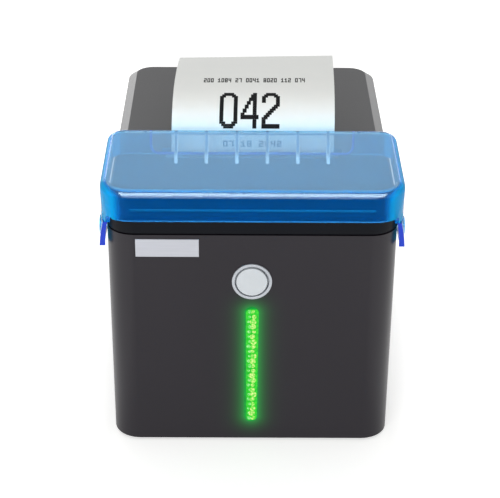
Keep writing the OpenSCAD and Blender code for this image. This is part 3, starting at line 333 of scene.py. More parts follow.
def woundPaper(name, colour, shadow, axis):
    # thermal paper wound on a core: its cut ends show the turns as rings
    # (each turn is 0.06 mm thick, drawn as 0.9 mm bands so that they show)
    material, add, skin, place = newMaterial(name)
    flat = add("VectorMath", {0: place, 1: (0, 1, 1)}, "MULTIPLY")
    reach = add("VectorMath", {0: flat, 1: Vector(axis) * mm}, "DISTANCE")
    turns = add("Math", {0: reach, 1: 2 * pi / (0.9 * mm)}, "MULTIPLY")
    wave = add("Math", {0: turns}, "SINE")
    bands = add("MapRange", {"Value": wave, 1: -1.0, 2: 1.0})
    shade = add("Mix", {0: bands, 6: shadow, 7: colour})
    bump = add("Bump", {"Height": bands, "Strength": 0.3, "Distance": 0.02 * mm})
    setInputs(skin, {"Base Color": shade, "Roughness": 0.55, "Normal": bump})
    return material


def thermalPaper(name, colour, tint):
    # coated thermal paper: a smooth, faintly cloudy white with a fine tooth
    material, add, skin, place = newMaterial(name)
    cloud = add("TexNoise", {"Vector": place, "Scale": 1 / (6 * mm), "Detail": 5.0})
    fibre = add("TexNoise", {"Vector": place, "Scale": 1 / (0.5 * mm)})
    shade = add("Mix", {0: cloud, 6: colour, 7: tint})
    bump = add("Bump", {"Height": fibre, "Strength": 0.2, "Distance": 0.01 * mm})
    setInputs(skin, {"Base Color": shade, "Roughness": 0.5, "Normal": bump})
    return material


def solderMask(name, colour, track):
    # glass-fibre board under green solder mask: copper tracks show as paler lines, about 4 mm apart
    material, add, skin, place = newMaterial(name)
    cells = add("TexVoronoi", {"Vector": place, "Scale": 1 / (4 * mm)}, distance="MANHATTAN")
    lines = add("MapRange", {"Value": cells, 1: 0.42, 2: 0.46})
    shade = add("Mix", {0: lines, 6: colour, 7: track})
    bump = add("Bump", {"Height": lines, "Strength": 0.3, "Distance": 0.03 * mm})
    setInputs(skin, {"Base Color": shade, "Roughness": 0.3, "Normal": bump, "IOR": 1.52})
    return material


def ribbonFilm(name, colour, copper):
    # polyimide film over parallel copper tracks, 1 mm apart
    material, add, skin, place = newMaterial(name)
    across = add("SeparateXYZ", {"Vector": place}).outputs["X"]
    turns = add("Math", {0: across, 1: 2 * pi / (1.0 * mm)}, "MULTIPLY")
    wave = add("Math", {0: turns}, "SINE")
    tracks = add("MapRange", {"Value": wave, 1: -0.2, 2: 0.2})
    shade = add("Mix", {0: tracks, 6: colour, 7: copper})
    setInputs(skin, {"Base Color": shade, "Roughness": 0.3, "IOR": 1.7})
    return material


def tintedPolycarbonate(name, look, bend=None):
    # blue-tinted polycarbonate, polished: it shows what is behind it, and the dye scatters some blue back;
    # each part's blue also carries painted light and shade. Round an upright corner the eye looks along the
    # sheet, through more dye; that look is painted on the bend, by how far its surface faces sideways, with
    # its own clear, blue and milk.
    # Shadow rays pass tinted, so the lamps reach the deck underneath.
    material, add, glass, place = newMaterial(name)
    haze = add("TexNoise", {"Vector": place, "Scale": 1 / (18 * mm)})
    dye = add("Mix", {0: haze, 6: look["dye"][0], 7: look["dye"][1]})
    clear, milk = look["clear"], look["milk"]
    # painted: the bend's own clear, blue and milk, by how far the surface faces sideways
    if bend:
        facing = add("TexCoord", {}).outputs["Normal"]
        across = add("SeparateXYZ", {"Vector": facing}).outputs["X"]
        turned = add("Math", {0: across}, "ABSOLUTE")
        begins = add("MapRange", {"Value": turned, 1: 0.2, 2: 0.66}, interpolation_type="SMOOTHSTEP")
        ends = add("MapRange", {"Value": turned, 1: 0.94, 2: 0.997, 3: 1.0, 4: 0.0})
        bent = add("Math", {0: begins, 1: ends}, "MULTIPLY")
        clear = add("Mix", {0: bent, 6: clear, 7: bend["clear"]})
        dye = add("Mix", {0: bent, 6: dye, 7: bend["dye"]})
        milk = add("MapRange", {"Value": bent, 3: milk, 4: bend["milk"]})
    setInputs(glass, {
        "Base Color": clear, "Transmission Weight": 1.0, "Roughness": look["rough"], "IOR": look["ior"],
        "Specular Tint": look["gleam"]})
    scatter = add("BsdfPrincipled", {
        "Base Color": dye, "Roughness": 0.3, "IOR": look["ior"], "Specular IOR Level": 0.0})
    both = add("MixShader", {0: milk, 1: glass, 2: scatter})
    through = add("BsdfTransparent", {"Color": look["passing"]})
    shadow = add("LightPath", {}).outputs["Is Shadow Ray"]
    final = add("MixShader", {0: shadow, 1: both, 2: through})
    setInputs(material.node_tree.nodes["Material Output"], {"Surface": final})
    return material


def paintedGlowEdge(name, colour, roughness, lift):
    # a cut edge of tinted polycarbonate with a painted glow: emission of its own colour, as strong as lift,
    # stands in for the light that runs inside the sheet and gathers at the edge
    material, add, skin, place = newMaterial(name)
    run = add("TexNoise", {"Vector": place, "Scale": 1 / (9 * mm)})
    shade = add("Mix", {0: run, 6: linear(colour, 0.72), 7: colour})
    setInputs(skin, {
        "Base Color": shade, "Roughness": roughness, "IOR": 1.58, "Specular IOR Level": 0.2,
        "Emission Color": shade, "Emission Strength": lift})
    return material


# the fins' pitch and their painted shine: pale lines from lineFrom to lineTo in from each side, a pale foot
# from dashTopZ down to dashLowZ, the dark, line and dash colours, and a painted glow as strong as lift
finPaintedShine = {"pitch": 14.65, "lineFrom": 0.45, "lineTo": 0.75, "dashTopZ": 129.6, "dashLowZ": 127.4,
            "dark": "#2c5f8e", "line": "#d4eaf0", "dash": "#c0e4fa", "lift": 0.2}


def paintedShineFins(name, light):
    # a fin seen end-on, with painted highlights: thin pale lines along both of its sides and the palest
    # colour at its foot, near the deck, with a faint painted glow over all
    material, add, skin, place = newMaterial(name)
    axes = add("SeparateXYZ", {"Vector": place}).outputs
    half = light["pitch"] / 2
    away = add("Math", {0: axes["X"], 1: half * mm}, "PINGPONG")  # half at the middle of each fin
    edge = add("MapRange", {
        "Value": away, 1: (half - light["lineFrom"]) * mm, 2: (half - light["lineTo"]) * mm})
    foot = add("MapRange", {
        "Value": axes["Z"], 1: light["dashTopZ"] * mm, 2: light["dashLowZ"] * mm})
    paintedShine = add("Mix", {0: edge, 6: light["dark"], 7: light["line"]})
    shade = add("Mix", {0: foot, 6: paintedShine, 7: light["dash"]})
    setInputs(skin, {
        "Base Color": shade, "Roughness": 0.2, "IOR": 1.58,
        "Emission Color": shade, "Emission Strength": light["lift"]})
    return material


def litAcrylic(name, edge, core, hot, spotMm):
    # moulded green acrylic with lamps behind it: light pools at each facet and thins out between them
    material, add, skin, place = newMaterial(name)
    cells = add("TexVoronoi", {"Vector": place, "Scale": 1 / (spotMm * mm), "Randomness": 0.8})
    pool = add("MapRange", {"Value": cells, 1: 0.1, 2: 0.75, 3: 1.0, 4: 0.0})
    cloud = add("TexNoise", {"Vector": place, "Scale": 1 / (5 * mm), "Detail": 1.0})
    body = add("Mix", {0: cloud, 6: edge, 7: core})
    light = add("Mix", {0: pool, 6: body, 7: hot})
    setInputs(skin, {
        "Base Color": "#06280c", "Roughness": 0.25, "IOR": 1.49, "Specular IOR Level": 0.25,
        "Emission Color": light, "Emission Strength": 1.0})
    return material


def printInk(name, colour):
    # heat-blackened thermal coat or pad-printed paint: one flat shade, very slightly uneven
    material, add, skin, place = newMaterial(name)
    dots = add("TexNoise", {"Vector": place, "Scale": 1 / (0.4 * mm), "Detail": 1.0})
    pale = [c + 0.01 for c in linear(colour)[:3]] + [1.0]
    shade = add("Mix", {0: dots, 6: colour, 7: pale})
    setInputs(skin, {"Base Color": shade, "Roughness": 0.7, "Specular IOR Level": 0.15})
    return material


# clear tints what shows through the sheet and passing the lamps' light, the dye colours are the blue it
# scatters, milk how much it scatters, and gleam tints its reflections. It is one sheet, but its parts have
# different colours that paint light and shade: the top's paler, milkier blue is painted light from above,
# and its grey clear paints shade on the paper under it; the walls' deeper blue is painted shade; the
# fillet's paler blue is painted light beside its real gloss; the bend's milky cyan is painted for the look
# along the sheet.
hoodLook = {
    "wall": {"clear": "#30b6ec", "passing": "#d2e6f0", "dye": ("#0060b2", "#006cbe"), "milk": 0.15,
             "ior": 1.46, "rough": 0.012, "gleam": "#24a8ff"},
    "fillet": {"clear": "#4cb6ec", "passing": "#d2e6f0", "dye": ("#0f78c8", "#1480ce"), "milk": 0.2,
               "ior": 1.5, "rough": 0.14, "gleam": "#d8f4ff"},
    "bend": {"clear": "#0896d8", "dye": "#00b0ea", "milk": 0.72},
    "top": {"clear": "#b8b7b4", "passing": "#d8eaf5", "dye": ("#70c6ff", "#7accff"), "milk": 0.255,
            "ior": 1.58, "rough": 0.012, "gleam": "#ffffff"}}
finishes = {
    # the housing carries the painted glow round the light bar
    "housing_plastic": mouldedAbs("moulded_abs_housing", "#19151c", "#1e1a21", 0.37, specular=0.28,
                                  lit=True),
    # its darker, duller colour is painted shade, for the hood's shadow over the deck's front band
    "deck_plastic": mouldedAbs("moulded_abs_deck", "#0b0d12", "#0f1117", 0.4, specular=0.08),
    "lid_plastic": mouldedAbs("moulded_abs_lid", "#242427", "#29292c", 0.42),
    "bucket_plastic": mouldedAbs("moulded_abs_bucket", "#26272b", "#2c2d32", 0.5),
    "hood_clear": tintedPolycarbonate("tinted_polycarbonate", hoodLook["wall"], hoodLook["bend"]),
    "foot_rubber": speckled("nitrile_rubber_feet", "#17171a", "#202024", 0.8, 1.2),
    "platen_rubber": speckled("silicone_rubber_platen", "#3a3c40", "#45474c", 0.6, 1.0),
    "steel": brushedMetal("zinc_plated_steel", "#b4b7bb", 0.35),
    "aluminium": brushedMetal("anodised_aluminium", "#c3c6ca", 0.4, along=(30, 30, 1)),
    "plate_metal": brushedMetal("satin_anodised_plate", "#c0c2ca", 0.5, lineMm=0.5, metallic=0.3),
    "bush_brass": brushedMetal("turned_brass", "#c9a45a", 0.3),
    "gear_plastic": speckled("natural_acetal", "#e4e2d8", "#efeee6", 0.35, 3.0, ior=1.48, subsurface=0.2),
    "silver_plastic": brushedMetal("silver_painted_abs", "#bdc1c8", 0.42, lineMm=0.8, along=(1, 1, 1),
                                   metallic=0.35),
    "button_plastic": speckled("satin_abs_button", "#c8cdd2", "#ced3d7", 0.38, 6.0, ior=1.53, depth=0.006),
    "black_plastic": mouldedAbs("glass_filled_nylon", "#17171a", "#1e1e22", 0.5, grainMm=0.7),
    "light_diffuser": litAcrylic("acrylic_light_body", "#00802a", "#009a34", "#06ae3a", 3.0),
    "led_resin": speckled("clear_lamp_epoxy", "#9fe8a6", "#b8f0bc", 0.15, 1.0),
    "circuit_board": solderMask("green_solder_mask", "#0d4a2a", "#1c6b40"),
    "ceramic": speckled("alumina_ceramic", "#e2ddd0", "#ece8dc", 0.3, 1.5, ior=1.76),
    "ribbon_film": ribbonFilm("polyimide_ribbon", "#b9722a", "#d79a4e"),
    "paper": thermalPaper("thermal_paper", "#f0f2ef", "#f5f6f2"),
    "card": speckled("wound_card_core", "#a5835a", "#b4926a", 0.8, 1.0)}
# the lug edges and rim glow with painted light, and the fins carry painted highlights
hoodParts = {
    "wall": finishes["hood_clear"],
    "lugEdge": paintedGlowEdge("polycarbonate_cut_edge", "#2040c8", 0.25, 0.12),
    "fin": paintedShineFins("polycarbonate_fin_edge", finPaintedShine),
    "top": tintedPolycarbonate("tinted_polycarbonate_top", hoodLook["top"]),
    "fillet": tintedPolycarbonate("tinted_polycarbonate_fillet", hoodLook["fillet"], hoodLook["bend"]),
    # the rim's pale line is a painted highlight
    "rim": paintedGlowEdge("polycarbonate_rim", "#6f7c98", 0.25, 0.05)}
lipBlue = paintedGlowEdge("polycarbonate_window_lip", "#0034cc", 0.3, 0.2)
ribBlue = paintedGlowEdge("polycarbonate_front_rib", "#0f607c", 0.3, 0.0)
lensGlow = litAcrylic("acrylic_light_lens", "#06b41a", "#10cc1c", "#3ae02a", 1.6)
beadPale = litAcrylic("acrylic_pale_bead", "#14c824", "#48e44a", "#c4ffb4", 0.8)
beadHot = litAcrylic("acrylic_bright_bead", "#1cd016", "#62ea30", "#f2ffa0", 1.15)
ink = printInk("heat_blackened_print", "#060607")
whiteMark = printInk("pad_printed_white", "#c9cac8")
rollAxis = (0.0, 37.0, 61.3)
rollPaper = woundPaper("wound_thermal_paper", "#f0f1ee", "#d5d6d2", rollAxis)

for name, thing in nodes.items():
    thing.data.materials.clear()
    thing.data.materials.append(rollPaper if name == "paper_roll" else finishes[slotOf[name]])
print("finishes set on", len(nodes), "nodes")


# Housing, deck and lid with their moulded edges rounded

shellEdges = {"halfX": 67.0, "halfY": 90.0, "midY": 0.5, "cornerR": 13.0, "near": 0.12, "level": 0.05,
              "housingRound": 0.7, "deckRound": 0.5, "lidRound": 0.5, "lidFromZ": 121.4, "lidTurn": 20}


def onOutline(place):
    # true for a point on the housing's plan outline
    size = shellEdges
    r = size["cornerR"]
    dx = abs(place.x / mm) - size["halfX"] + r
    dy = abs(place.y / mm - size["midY"]) - size["halfY"] + r
    away = hypot(max(dx, 0), max(dy, 0)) + min(max(dx, dy), 0) - r
    return abs(away) < size["near"]


def levelRim(edge):
    low, high = (v.co for v in edge.verts)
    return abs(low.z - high.z) < shellEdges["level"] * mm and onOutline(low) and onOutline(high)


roundedPiece("main_housing", shellEdges["housingRound"], levelRim)
roundedPiece("upper_frame", shellEdges["deckRound"], levelRim)
roundedPiece("top_lid", shellEdges["lidRound"], beyond(up, shellEdges["lidFromZ"]),
             turn=shellEdges["lidTurn"])
print("housing, deck and lid rounded")


# Button and its ring: the gap between them shows as a dark groove

buttonSize = {"z": 90.4, "capShrink": 0.975, "capShift": (-0.08, 0.0, -0.2), "ringOpen": 0.35,
              "ringInner": 8.0, "outFrom": 89.6, "capRound": 0.4, "ringRound": 0.3, "plateRound": 0.12}


def drawnInCap(place):
    middle = Vector((0, place.y, buttonSize["z"] * mm))
    return middle + (place - middle) * buttonSize["capShrink"] + Vector(buttonSize["capShift"]) * mm


def openedRing(place):
    middle = Vector((0, place.y, buttonSize["z"] * mm))
    out = place - middle
    if out.length > buttonSize["ringInner"] * mm:
        return place
    return middle + out * (1 + buttonSize["ringOpen"] * mm / out.length)


frontRim = beyond(-back, buttonSize["outFrom"])
roundedPiece("feed_button", buttonSize["capRound"], frontRim, reshape=drawnInCap)
roundedPiece("button_bezel", buttonSize["ringRound"], frontRim, reshape=openedRing)
roundedPiece("name_plate", buttonSize["plateRound"], frontRim, steps=2)
print("button, ring and plate rounded")


# Light bar lens: a low dome with two columns of beads over the lamps

lensSize = {"x": 0.3, "topZ": 75.6, "lowZ": 12.6, "topHalf": 3.05, "lowHalf": 2.55, "baseY": -90.08,
            "crown": 0.75, "skirt": 0.3, "endTaper": 2.0, "endPart": 0.45, "rows": 40, "columns": 12}
beadSize = {"pitch": 2.74, "first": 1.8, "spare": 2.6, "flat": 0.5, "wander": 0.12, "wanderTurn": 2.4,
            "middling": 0.85, "swing": 0.22, "swingTurn": 1.7}
beadColumns = {"left": {"at": -0.48, "radius": 0.92, "phase": 0.4, "finish": beadPale},
               "middle": {"at": 0.16, "radius": 1.55, "phase": 1.9, "finish": beadHot}}


def lensEnd(z):
    # how far z is from the nearer end, in parts of the tapered length
    return max(0.0, min(z - lensSize["lowZ"], lensSize["topZ"] - z) / lensSize["endTaper"])


def lensHalf(z):
    size = lensSize
    part = (z - size["lowZ"]) / (size["topZ"] - size["lowZ"])
    half = size["lowHalf"] + (size["topHalf"] - size["lowHalf"]) * part
    narrowed = sqrt(1 - (1 - min(lensEnd(z), 1.0)) ** 2)
    return half * (size["endPart"] + (1 - size["endPart"]) * narrowed)


def lensFront(z, across):
    # y of the lens surface; across runs from -1 to 1
    swell = sqrt(max(0.0, 1 - across ** 2)) * min(1.0, sqrt(lensEnd(z)))
    return lensSize["baseY"] - lensSize["crown"] * swell


def buildLens():
    size = lensSize
    mesh = bmesh.new()
    grid = []
    for k in range(size["rows"] + 1):
        z = size["lowZ"] + (size["topZ"] - size["lowZ"]) * (0.5 - 0.5 * cos(pi * k / size["rows"]))
        steps = [-cos(pi * i / size["columns"]) for i in range(size["columns"] + 1)]
        grid.append([mesh.verts.new(Vector((size["x"] + across * lensHalf(z), lensFront(z, across), z)) * mm)
                     for across in steps])
    gridFaces(mesh, grid)
    rim = gridRim(grid)
    foot = [mesh.verts.new(v.co + back * size["skirt"] * mm) for v in rim]
    wallBetween(mesh, rim, foot)
    mesh.faces.new(foot)
    faceOutward(mesh)
    pieceFromMesh("light_bar_lens", mesh, "housing", "light_diffuser", lensGlow, crease=55)


def buildBeads(name, column):
    # a column of moulded beads standing half out of the lens, no two quite alike
    size, phase = beadSize, column["phase"]
    mesh = bmesh.new()
    count = int((lensSize["topZ"] - lensSize["lowZ"] - size["spare"]) / size["pitch"]) + 1
    for k in range(count):
        z = lensSize["lowZ"] + size["first"] + size["pitch"] * k
        across = column["at"] + size["wander"] * sin(k * size["wanderTurn"] + phase)
        grow = size["middling"] + size["swing"] * sin(k * size["swingTurn"] + phase * 3)
        middle = Vector((lensSize["x"] + across * lensHalf(z), lensFront(z, across), z)) * mm
        made = bmesh.ops.create_icosphere(mesh, subdivisions=2, radius=column["radius"] * grow * mm)
        for vertex in made["verts"]:
            vertex.co.y *= size["flat"]
            vertex.co += middle
    pieceFromMesh("light_bar_beads_" + name, mesh, "housing", "light_diffuser", column["finish"], crease=80)


buildLens()
for name, column in beadColumns.items():
    buildBeads(name, column)
print("light bar lens built")


# Splash hood: the clear shell, with a painted glow on its cut edges and painted highlights on its fins

hoodSize = {"rimZ": 122.9, "sillZ": 125.1, "topZ": 139.5, "rearY": -26.5, "insideY": -28.6,
            "frontY": -92.5, "wall": 2.0, "fillet": 4.0, "near": 0.1, "fall": 0.113, "finFrontY": -38.6,
            "finsX": 45.0, "finHalf": 0.85, "windowX": 49.5, "windowLowZ": 126.8, "windowCornerZ": 130.9,
            "windowDrop": 1.3, "lugX": 64.0, "lugEdgeX": 66.5, "lugFrontY": -82.5, "lugRootZ": 118.0,
            "lugLowZ": 106.0, "curl": 2.0, "curlMost": 0.75, "tuck": 0.4, "curlFrom": 78.0, "curlTo": 83.0}
lugCuts = {"z": (107.5, 109, 110.5, 112, 113.5, 115, 116.5, 118, 119.5, 121, 122),
           "y": (-82.5, -81.5, -80.5, -79.5, -78.5)}


def hoodFaceKind(face):
    size = hoodSize
    near = size["near"]
    middle = face.calc_center_median() / mm
    normal = face.normal
    if abs(normal.z) > 0.95 and middle.z > size["topZ"] - size["wall"] - near:
        return "top"
    if middle.y > size["finFrontY"] and abs(middle.x) < size["finsX"] and middle.z > size["sillZ"] - near:
        isFinEnd = middle.y < size["insideY"] and abs(normal.x) < 0.1 and normal.y < -0.3
        if abs(normal.x) > 0.9 or isFinEnd:
            return "fin"
    if normal.z > 0.12 and normal.y < -0.12 and middle.z > size["topZ"] - size["fillet"] - 2 * near:
        return "fillet"
    if normal.z < -0.9 and middle.y < size["insideY"] and abs(middle.z - size["rimZ"]) < 2 * near:
        return "rim"
    onLug = abs(middle.x) > size["lugEdgeX"] and middle.y < size["lugFrontY"] and middle.z < size["lugRootZ"]
    isLugFoot = normal.z < -0.9 and middle.z < size["lugLowZ"] + 5 * near
    return "lugEdge" if isLugFoot or (onLug and normal.y < -0.6) else "wall"


def ease(value, start, end):
    # 0 before start, 1 after end, smooth between
    part = min(1.0, max(0.0, (value - start) / (end - start)))
    return part * part * (3 - 2 * part)


def hoodShape(place):
    # the top falls towards the front, the window reaches its sill, the fins are thickened, and the lugs'
    # front edges curl in
    size = hoodSize
    near = size["near"]
    x, y, z = (c / mm for c in place)
    atWindow = y > size["insideY"] and abs(x) < size["windowX"] + near
    if atWindow and size["sillZ"] + near < z < size["windowCornerZ"]:
        reach = (size["windowCornerZ"] - z) / (size["windowCornerZ"] - size["windowLowZ"])
        z -= size["windowDrop"] * min(1.0, reach)
    if size["finFrontY"] - near < y < size["insideY"] and z > size["sillZ"] - near:
        middle = (floor(x / finPaintedShine["pitch"]) + 0.5) * finPaintedShine["pitch"]
        if abs(x) < size["finsX"] and abs(x - middle) < size["finHalf"]:
            x = middle + copysign(size["finHalf"], x - middle)
    if z > size["rimZ"]:
        forward = (size["rearY"] - y) / (size["rearY"] - size["frontY"])
        z = size["rimZ"] + (z - size["rimZ"]) * (1 - size["fall"] * forward)
    if z < size["rimZ"] and abs(x) > size["lugX"]:
        rise = min(1.0, max(0.0, (z - size["lugLowZ"]) / (size["rimZ"] - size["lugLowZ"])))
        inward = size["curl"] * min(rise, size["curlMost"]) ** 2 + size["tuck"] * (1 - rise)
        x -= copysign(inward * ease(-y, size["curlFrom"], size["curlTo"]), x)
    return Vector((x, y, z)) * mm


def cutLugs(mesh):
    # a grid of cuts across the two lugs, so that they can curl
    cuts = [(up * z, up) for z in lugCuts["z"]] + [(back * y, back) for y in lugCuts["y"]]
    for place, normal in cuts:
        lugs = [f for f in mesh.faces if abs(f.calc_center_median().x) > hoodSize["lugX"] * mm
                and min(v.co.z for v in f.verts) < hoodSize["rimZ"] * mm]
        parts = set(lugs) | {e for f in lugs for e in f.edges} | {v for f in lugs for v in f.verts}
        bmesh.ops.bisect_plane(mesh, geom=list(parts), dist=0.001 * mm, plane_co=place * mm, plane_no=normal)


def buildHood():
    mesh = cleanCopy("splash_hood")
    cutLugs(mesh)
    kinds = list(hoodParts)
    for face in mesh.faces:
        face.material_index = kinds.index(hoodFaceKind(face))
    for vertex in mesh.verts:
        vertex.co = hoodShape(vertex.co)
    mesh.normal_update()
    bmesh.ops.triangulate(mesh, faces=[f for f in mesh.faces if len(f.verts) > 40])
    bmesh.ops.dissolve_degenerate(mesh, dist=0.003 * mm, edges=mesh.edges)
    standIn("splash_hood", "_shell", mesh, *hoodParts.values(), crease=30)


windowLip = {"halfX": 48.9, "topZ": 136.6, "lowZ": 125.75, "cornerR": 4.0, "y": -28.7, "radius": 0.65,
             "around": 8, "steps": 8}
frontRib = {"halfX": 55.5, "y": -90.4, "z": 128.1, "radius": 0.6, "around": 8}


def buildHoodRods():
    # the moulded lip round the window's sides and foot, which shows as a blue outline with a painted glow,
    # and a stiffening rib on the inside of the front wall, which shows through it as a paler line
    size, rib = windowLip, frontRib
    r = size["cornerR"]
    half = [(size["halfX"], size["y"], size["topZ"])]
    for step in range(size["steps"] + 1):
        a = radians(90 * step / size["steps"])
        half.append((size["halfX"] - r + r * cos(a), size["y"], size["lowZ"] + r - r * sin(a)))
    path = half + [(-x, y, z) for x, y, z in reversed(half)]
    rods("hood_window_lip", [path], size["radius"], size["around"], "hood", "hood_clear", lipBlue)
    path = [(x, rib["y"], rib["z"]) for x in (-rib["halfX"], rib["halfX"])]
    rods("hood_front_rib", [path], rib["radius"], rib["around"], "hood", "hood_clear", ribBlue)


buildHood()
buildHoodRods()
print("hood built")


# Screw heads: each gets its cross recess

smallHead = {"ways": (-up,), "arm": 1.7, "half": 0.4, "depth": 0.8, "round": 0.3}
screwHeads = {
    "hood_pivots": {"ways": (right, -right), "arm": 2.2, "half": 0.5, "depth": 0.8, "round": 0.45,
                    "from": 70.5},
    "base_screws": {**smallHead, "from": -1.6},
    "liner_screws": {**smallHead, "from": -119.2}}


def cutCross(mesh, face, arm, half, depth):
    # opens a flat round face and sinks a cross into it
    normal = face.normal.copy()
    middle = face.calc_center_median()
    across = normal.orthogonal().normalized()
    upward = normal.cross(across)
    rim = list(face.edges)
    corners = [(arm, -half), (arm, half), (half, half), (half, arm), (-half, arm), (-half, half),
               (-arm, half), (-arm, -half), (-half, -half), (-half, -arm), (half, -arm), (half, -half)]
    places = [middle + (across * u + upward * v) * mm for u, v in corners]
    mesh.faces.remove(face)
    top = [mesh.verts.new(place) for place in places]
    low = [mesh.verts.new(place - normal * depth * mm) for place in places]
    bmesh.ops.triangle_fill(mesh, edges=rim + loopEdges(mesh, top), use_beauty=True, normal=normal)
    wallBetween(mesh, low, top)
    mesh.faces.new(low)


def crossHeads(node, head):
    def outward(vector):
        return max(vector.dot(way) for way in head["ways"])

    def onHead(edge):
        return all(outward(v.co) > head["from"] * mm for v in edge.verts)

    mesh = cleanCopy(node)
    roundEdges(mesh, sharpEdges(mesh, 60, onHead), head["round"])
    mesh.normal_update()
    for face in [f for f in mesh.faces if outward(f.normal) > 0.99
                 and outward(f.calc_center_median()) > head["from"] * mm]:
        cutCross(mesh, face, head["arm"], head["half"], head["depth"])
    faceOutward(mesh)
    standIn(node, "_cross", mesh)


for name, head in screwHeads.items():
    crossHeads(name, head)
print("screw heads cut")


# Sockets at the back: softened shells, moulded inserts and sprung contacts

socketSize = {
    "lan_socket": {"x": 8.0, "z": (12.5, 23.2), "wide": 13.1, "plug": (11.7, 6.9), "latch": (5.8, 1.7),
                   "pins": 8, "pitch": 1.02, "deep": 10.5},
    "drawer_socket": {"x": 30.0, "z": (12.5, 21.7), "wide": 10.3, "plug": (9.3, 5.8), "latch": (3.4, 1.6),
                      "pins": 6, "pitch": 1.02, "deep": 9.0}}
socketFace = {"y": 90.2, "inset": 0.9, "slack": 0.05, "roof": 0.9, "backWall": 0.4, "pinR": 0.2,
              "pinAround": 6}
contactBend = [("front", -1.0, -0.25), ("front", -1.5, -0.5), ("back", 2.0, -3.0), ("back", 0.1, -3.2)]


def loopAt(mesh, middleX, half, y):
    # a loop of points from its right half, given from the top down
    outline = [(-x, z) for x, z in half] + list(reversed(half))
    return [mesh.verts.new(Vector((middleX + x, y, z)) * mm) for x, z in outline]


def buildSocket(name, size):
    # an insert with a keyed mouth, and a comb of sprung contacts under its roof
    (low, high), slack = size["z"], socketFace["slack"]
    half = size["wide"] / 2 - slack
    plugX, latchX = size["plug"][0] / 2, size["latch"][0] / 2
    roof = high - socketFace["roof"]
    sill = roof - size["plug"][1]
    notch = sill - size["latch"][1]
    mouth = [(plugX, roof), (plugX, sill), (latchX, sill), (latchX, notch)]
    shell = [(half, high - slack), (half, low + slack)]
    front = socketFace["y"] - socketFace["inset"]
    rear = front - size["deep"]
    mesh = bmesh.new()
    outer = loopAt(mesh, size["x"], shell, front)
    inner = loopAt(mesh, size["x"], mouth, front)
    bmesh.ops.triangle_fill(mesh, edges=loopEdges(mesh, outer) + loopEdges(mesh, inner), use_beauty=True,
                            normal=back)
    deep = loopAt(mesh, size["x"], mouth, rear)
    far = loopAt(mesh, size["x"], shell, rear - socketFace["backWall"])
    for one, two in ((inner, deep), (outer, far)):
        wallBetween(mesh, one, two)
        mesh.faces.new(two)
    faceOutward(mesh)
    pieceFromMesh(name + "_insert", mesh, "housing", "black_plastic")
    ends = {"front": front, "back": rear}
    paths = []
    for k in range(size["pins"]):
        x = size["x"] + (k - (size["pins"] - 1) / 2) * size["pitch"]
        paths.append([(x, ends[end] + dy, roof + dz) for end, dy, dz in contactBend])
    rods(name + "_contacts", paths, socketFace["pinR"], socketFace["pinAround"], "housing", "bush_brass")


tongueSize = {"low": (-16.86, 80.0, 14.94), "high": (-11.14, 89.26, 18.26), "round": 0.3}
jackPin = {"x": -34.0, "z": 16.6, "from": 80.4, "to": 89.0, "near": 0.1, "radius": 1.1, "around": 20,
           "tipRound": 0.5}
backEdges = {  # radius, y that the rounded edges lie behind, and steps
    "power_jack": (0.2, 90.1, 2), "usb_port": (0.2, 90.1, 2), "lan_port": (0.2, 90.1, 2),
    "drawer_port": (0.2, 90.1, 2), "switch_frame": (0.35, 91.3, 3), "switch_rocker": (0.3, 90.0, 3)}


def buildTongue():
    # the moulded tongue over the square socket's blade
    low, high = Vector(tongueSize["low"]), Vector(tongueSize["high"])
    mesh = bmesh.new()
    bmesh.ops.create_cube(mesh, size=1.0)
    for vertex in mesh.verts:
        vertex.co = ((low + high) / 2 + (high - low) * vertex.co) * mm
    roundEdges(mesh, mesh.edges[:], tongueSize["round"])
    pieceFromMesh("usb_tongue", mesh, "housing", "black_plastic", crease=40)


def buildJackPin():
    # the round socket's plated pin
    size = jackPin
    mesh = bmesh.new()
    path = [(size["x"], y, size["z"]) for y in (size["from"], size["to"])]
    sweep(mesh, path, size["radius"], size["around"])
    atTip = beyond(back, size["to"] - size["near"])
    roundEdges(mesh, [edge for edge in mesh.edges if atTip(edge)], size["tipRound"], steps=4)
    pieceFromMesh("jack_pin", mesh, "housing", "steel", crease=40)


for name, size in socketSize.items():
    buildSocket(name, size)
buildTongue()
buildJackPin()
for name, (radius, fromY, steps) in backEdges.items():
    roundedPiece(name, radius, beyond(back, fromY), steps=steps)
print("sockets and switch built")


# Rocker marks: a bar and a ring, pad printed

rockerMarks = {"axis": (46.0, 90.5, 31.5), "top": (92.5, 38.1), "low": (91.17, 24.9), "along": 0.52,
               "lift": 0.03, "thick": 0.03, "bar": (0.35, 1.3), "ring": (0.95, 1.4), "ringSteps": 32}


def markLoops(mark):
    # loops of points (across, along, out) round the section of a bar or a ring
    thick = rockerMarks["thick"]
    if mark == "top":
        w, h = rockerMarks["bar"]
        return [[(-w, -h, t), (w, -h, t), (w, h, t), (-w, h, t)] for t in (thick, 0.0)]
    inner, outer = rockerMarks["ring"]
    turns = [2 * pi * k / rockerMarks["ringSteps"] for k in range(rockerMarks["ringSteps"])]
    return [[(r * cos(a), r * sin(a), t) for a in turns]
            for r, t in ((inner, thick), (outer, thick), (outer, 0.0), (inner, 0.0))]


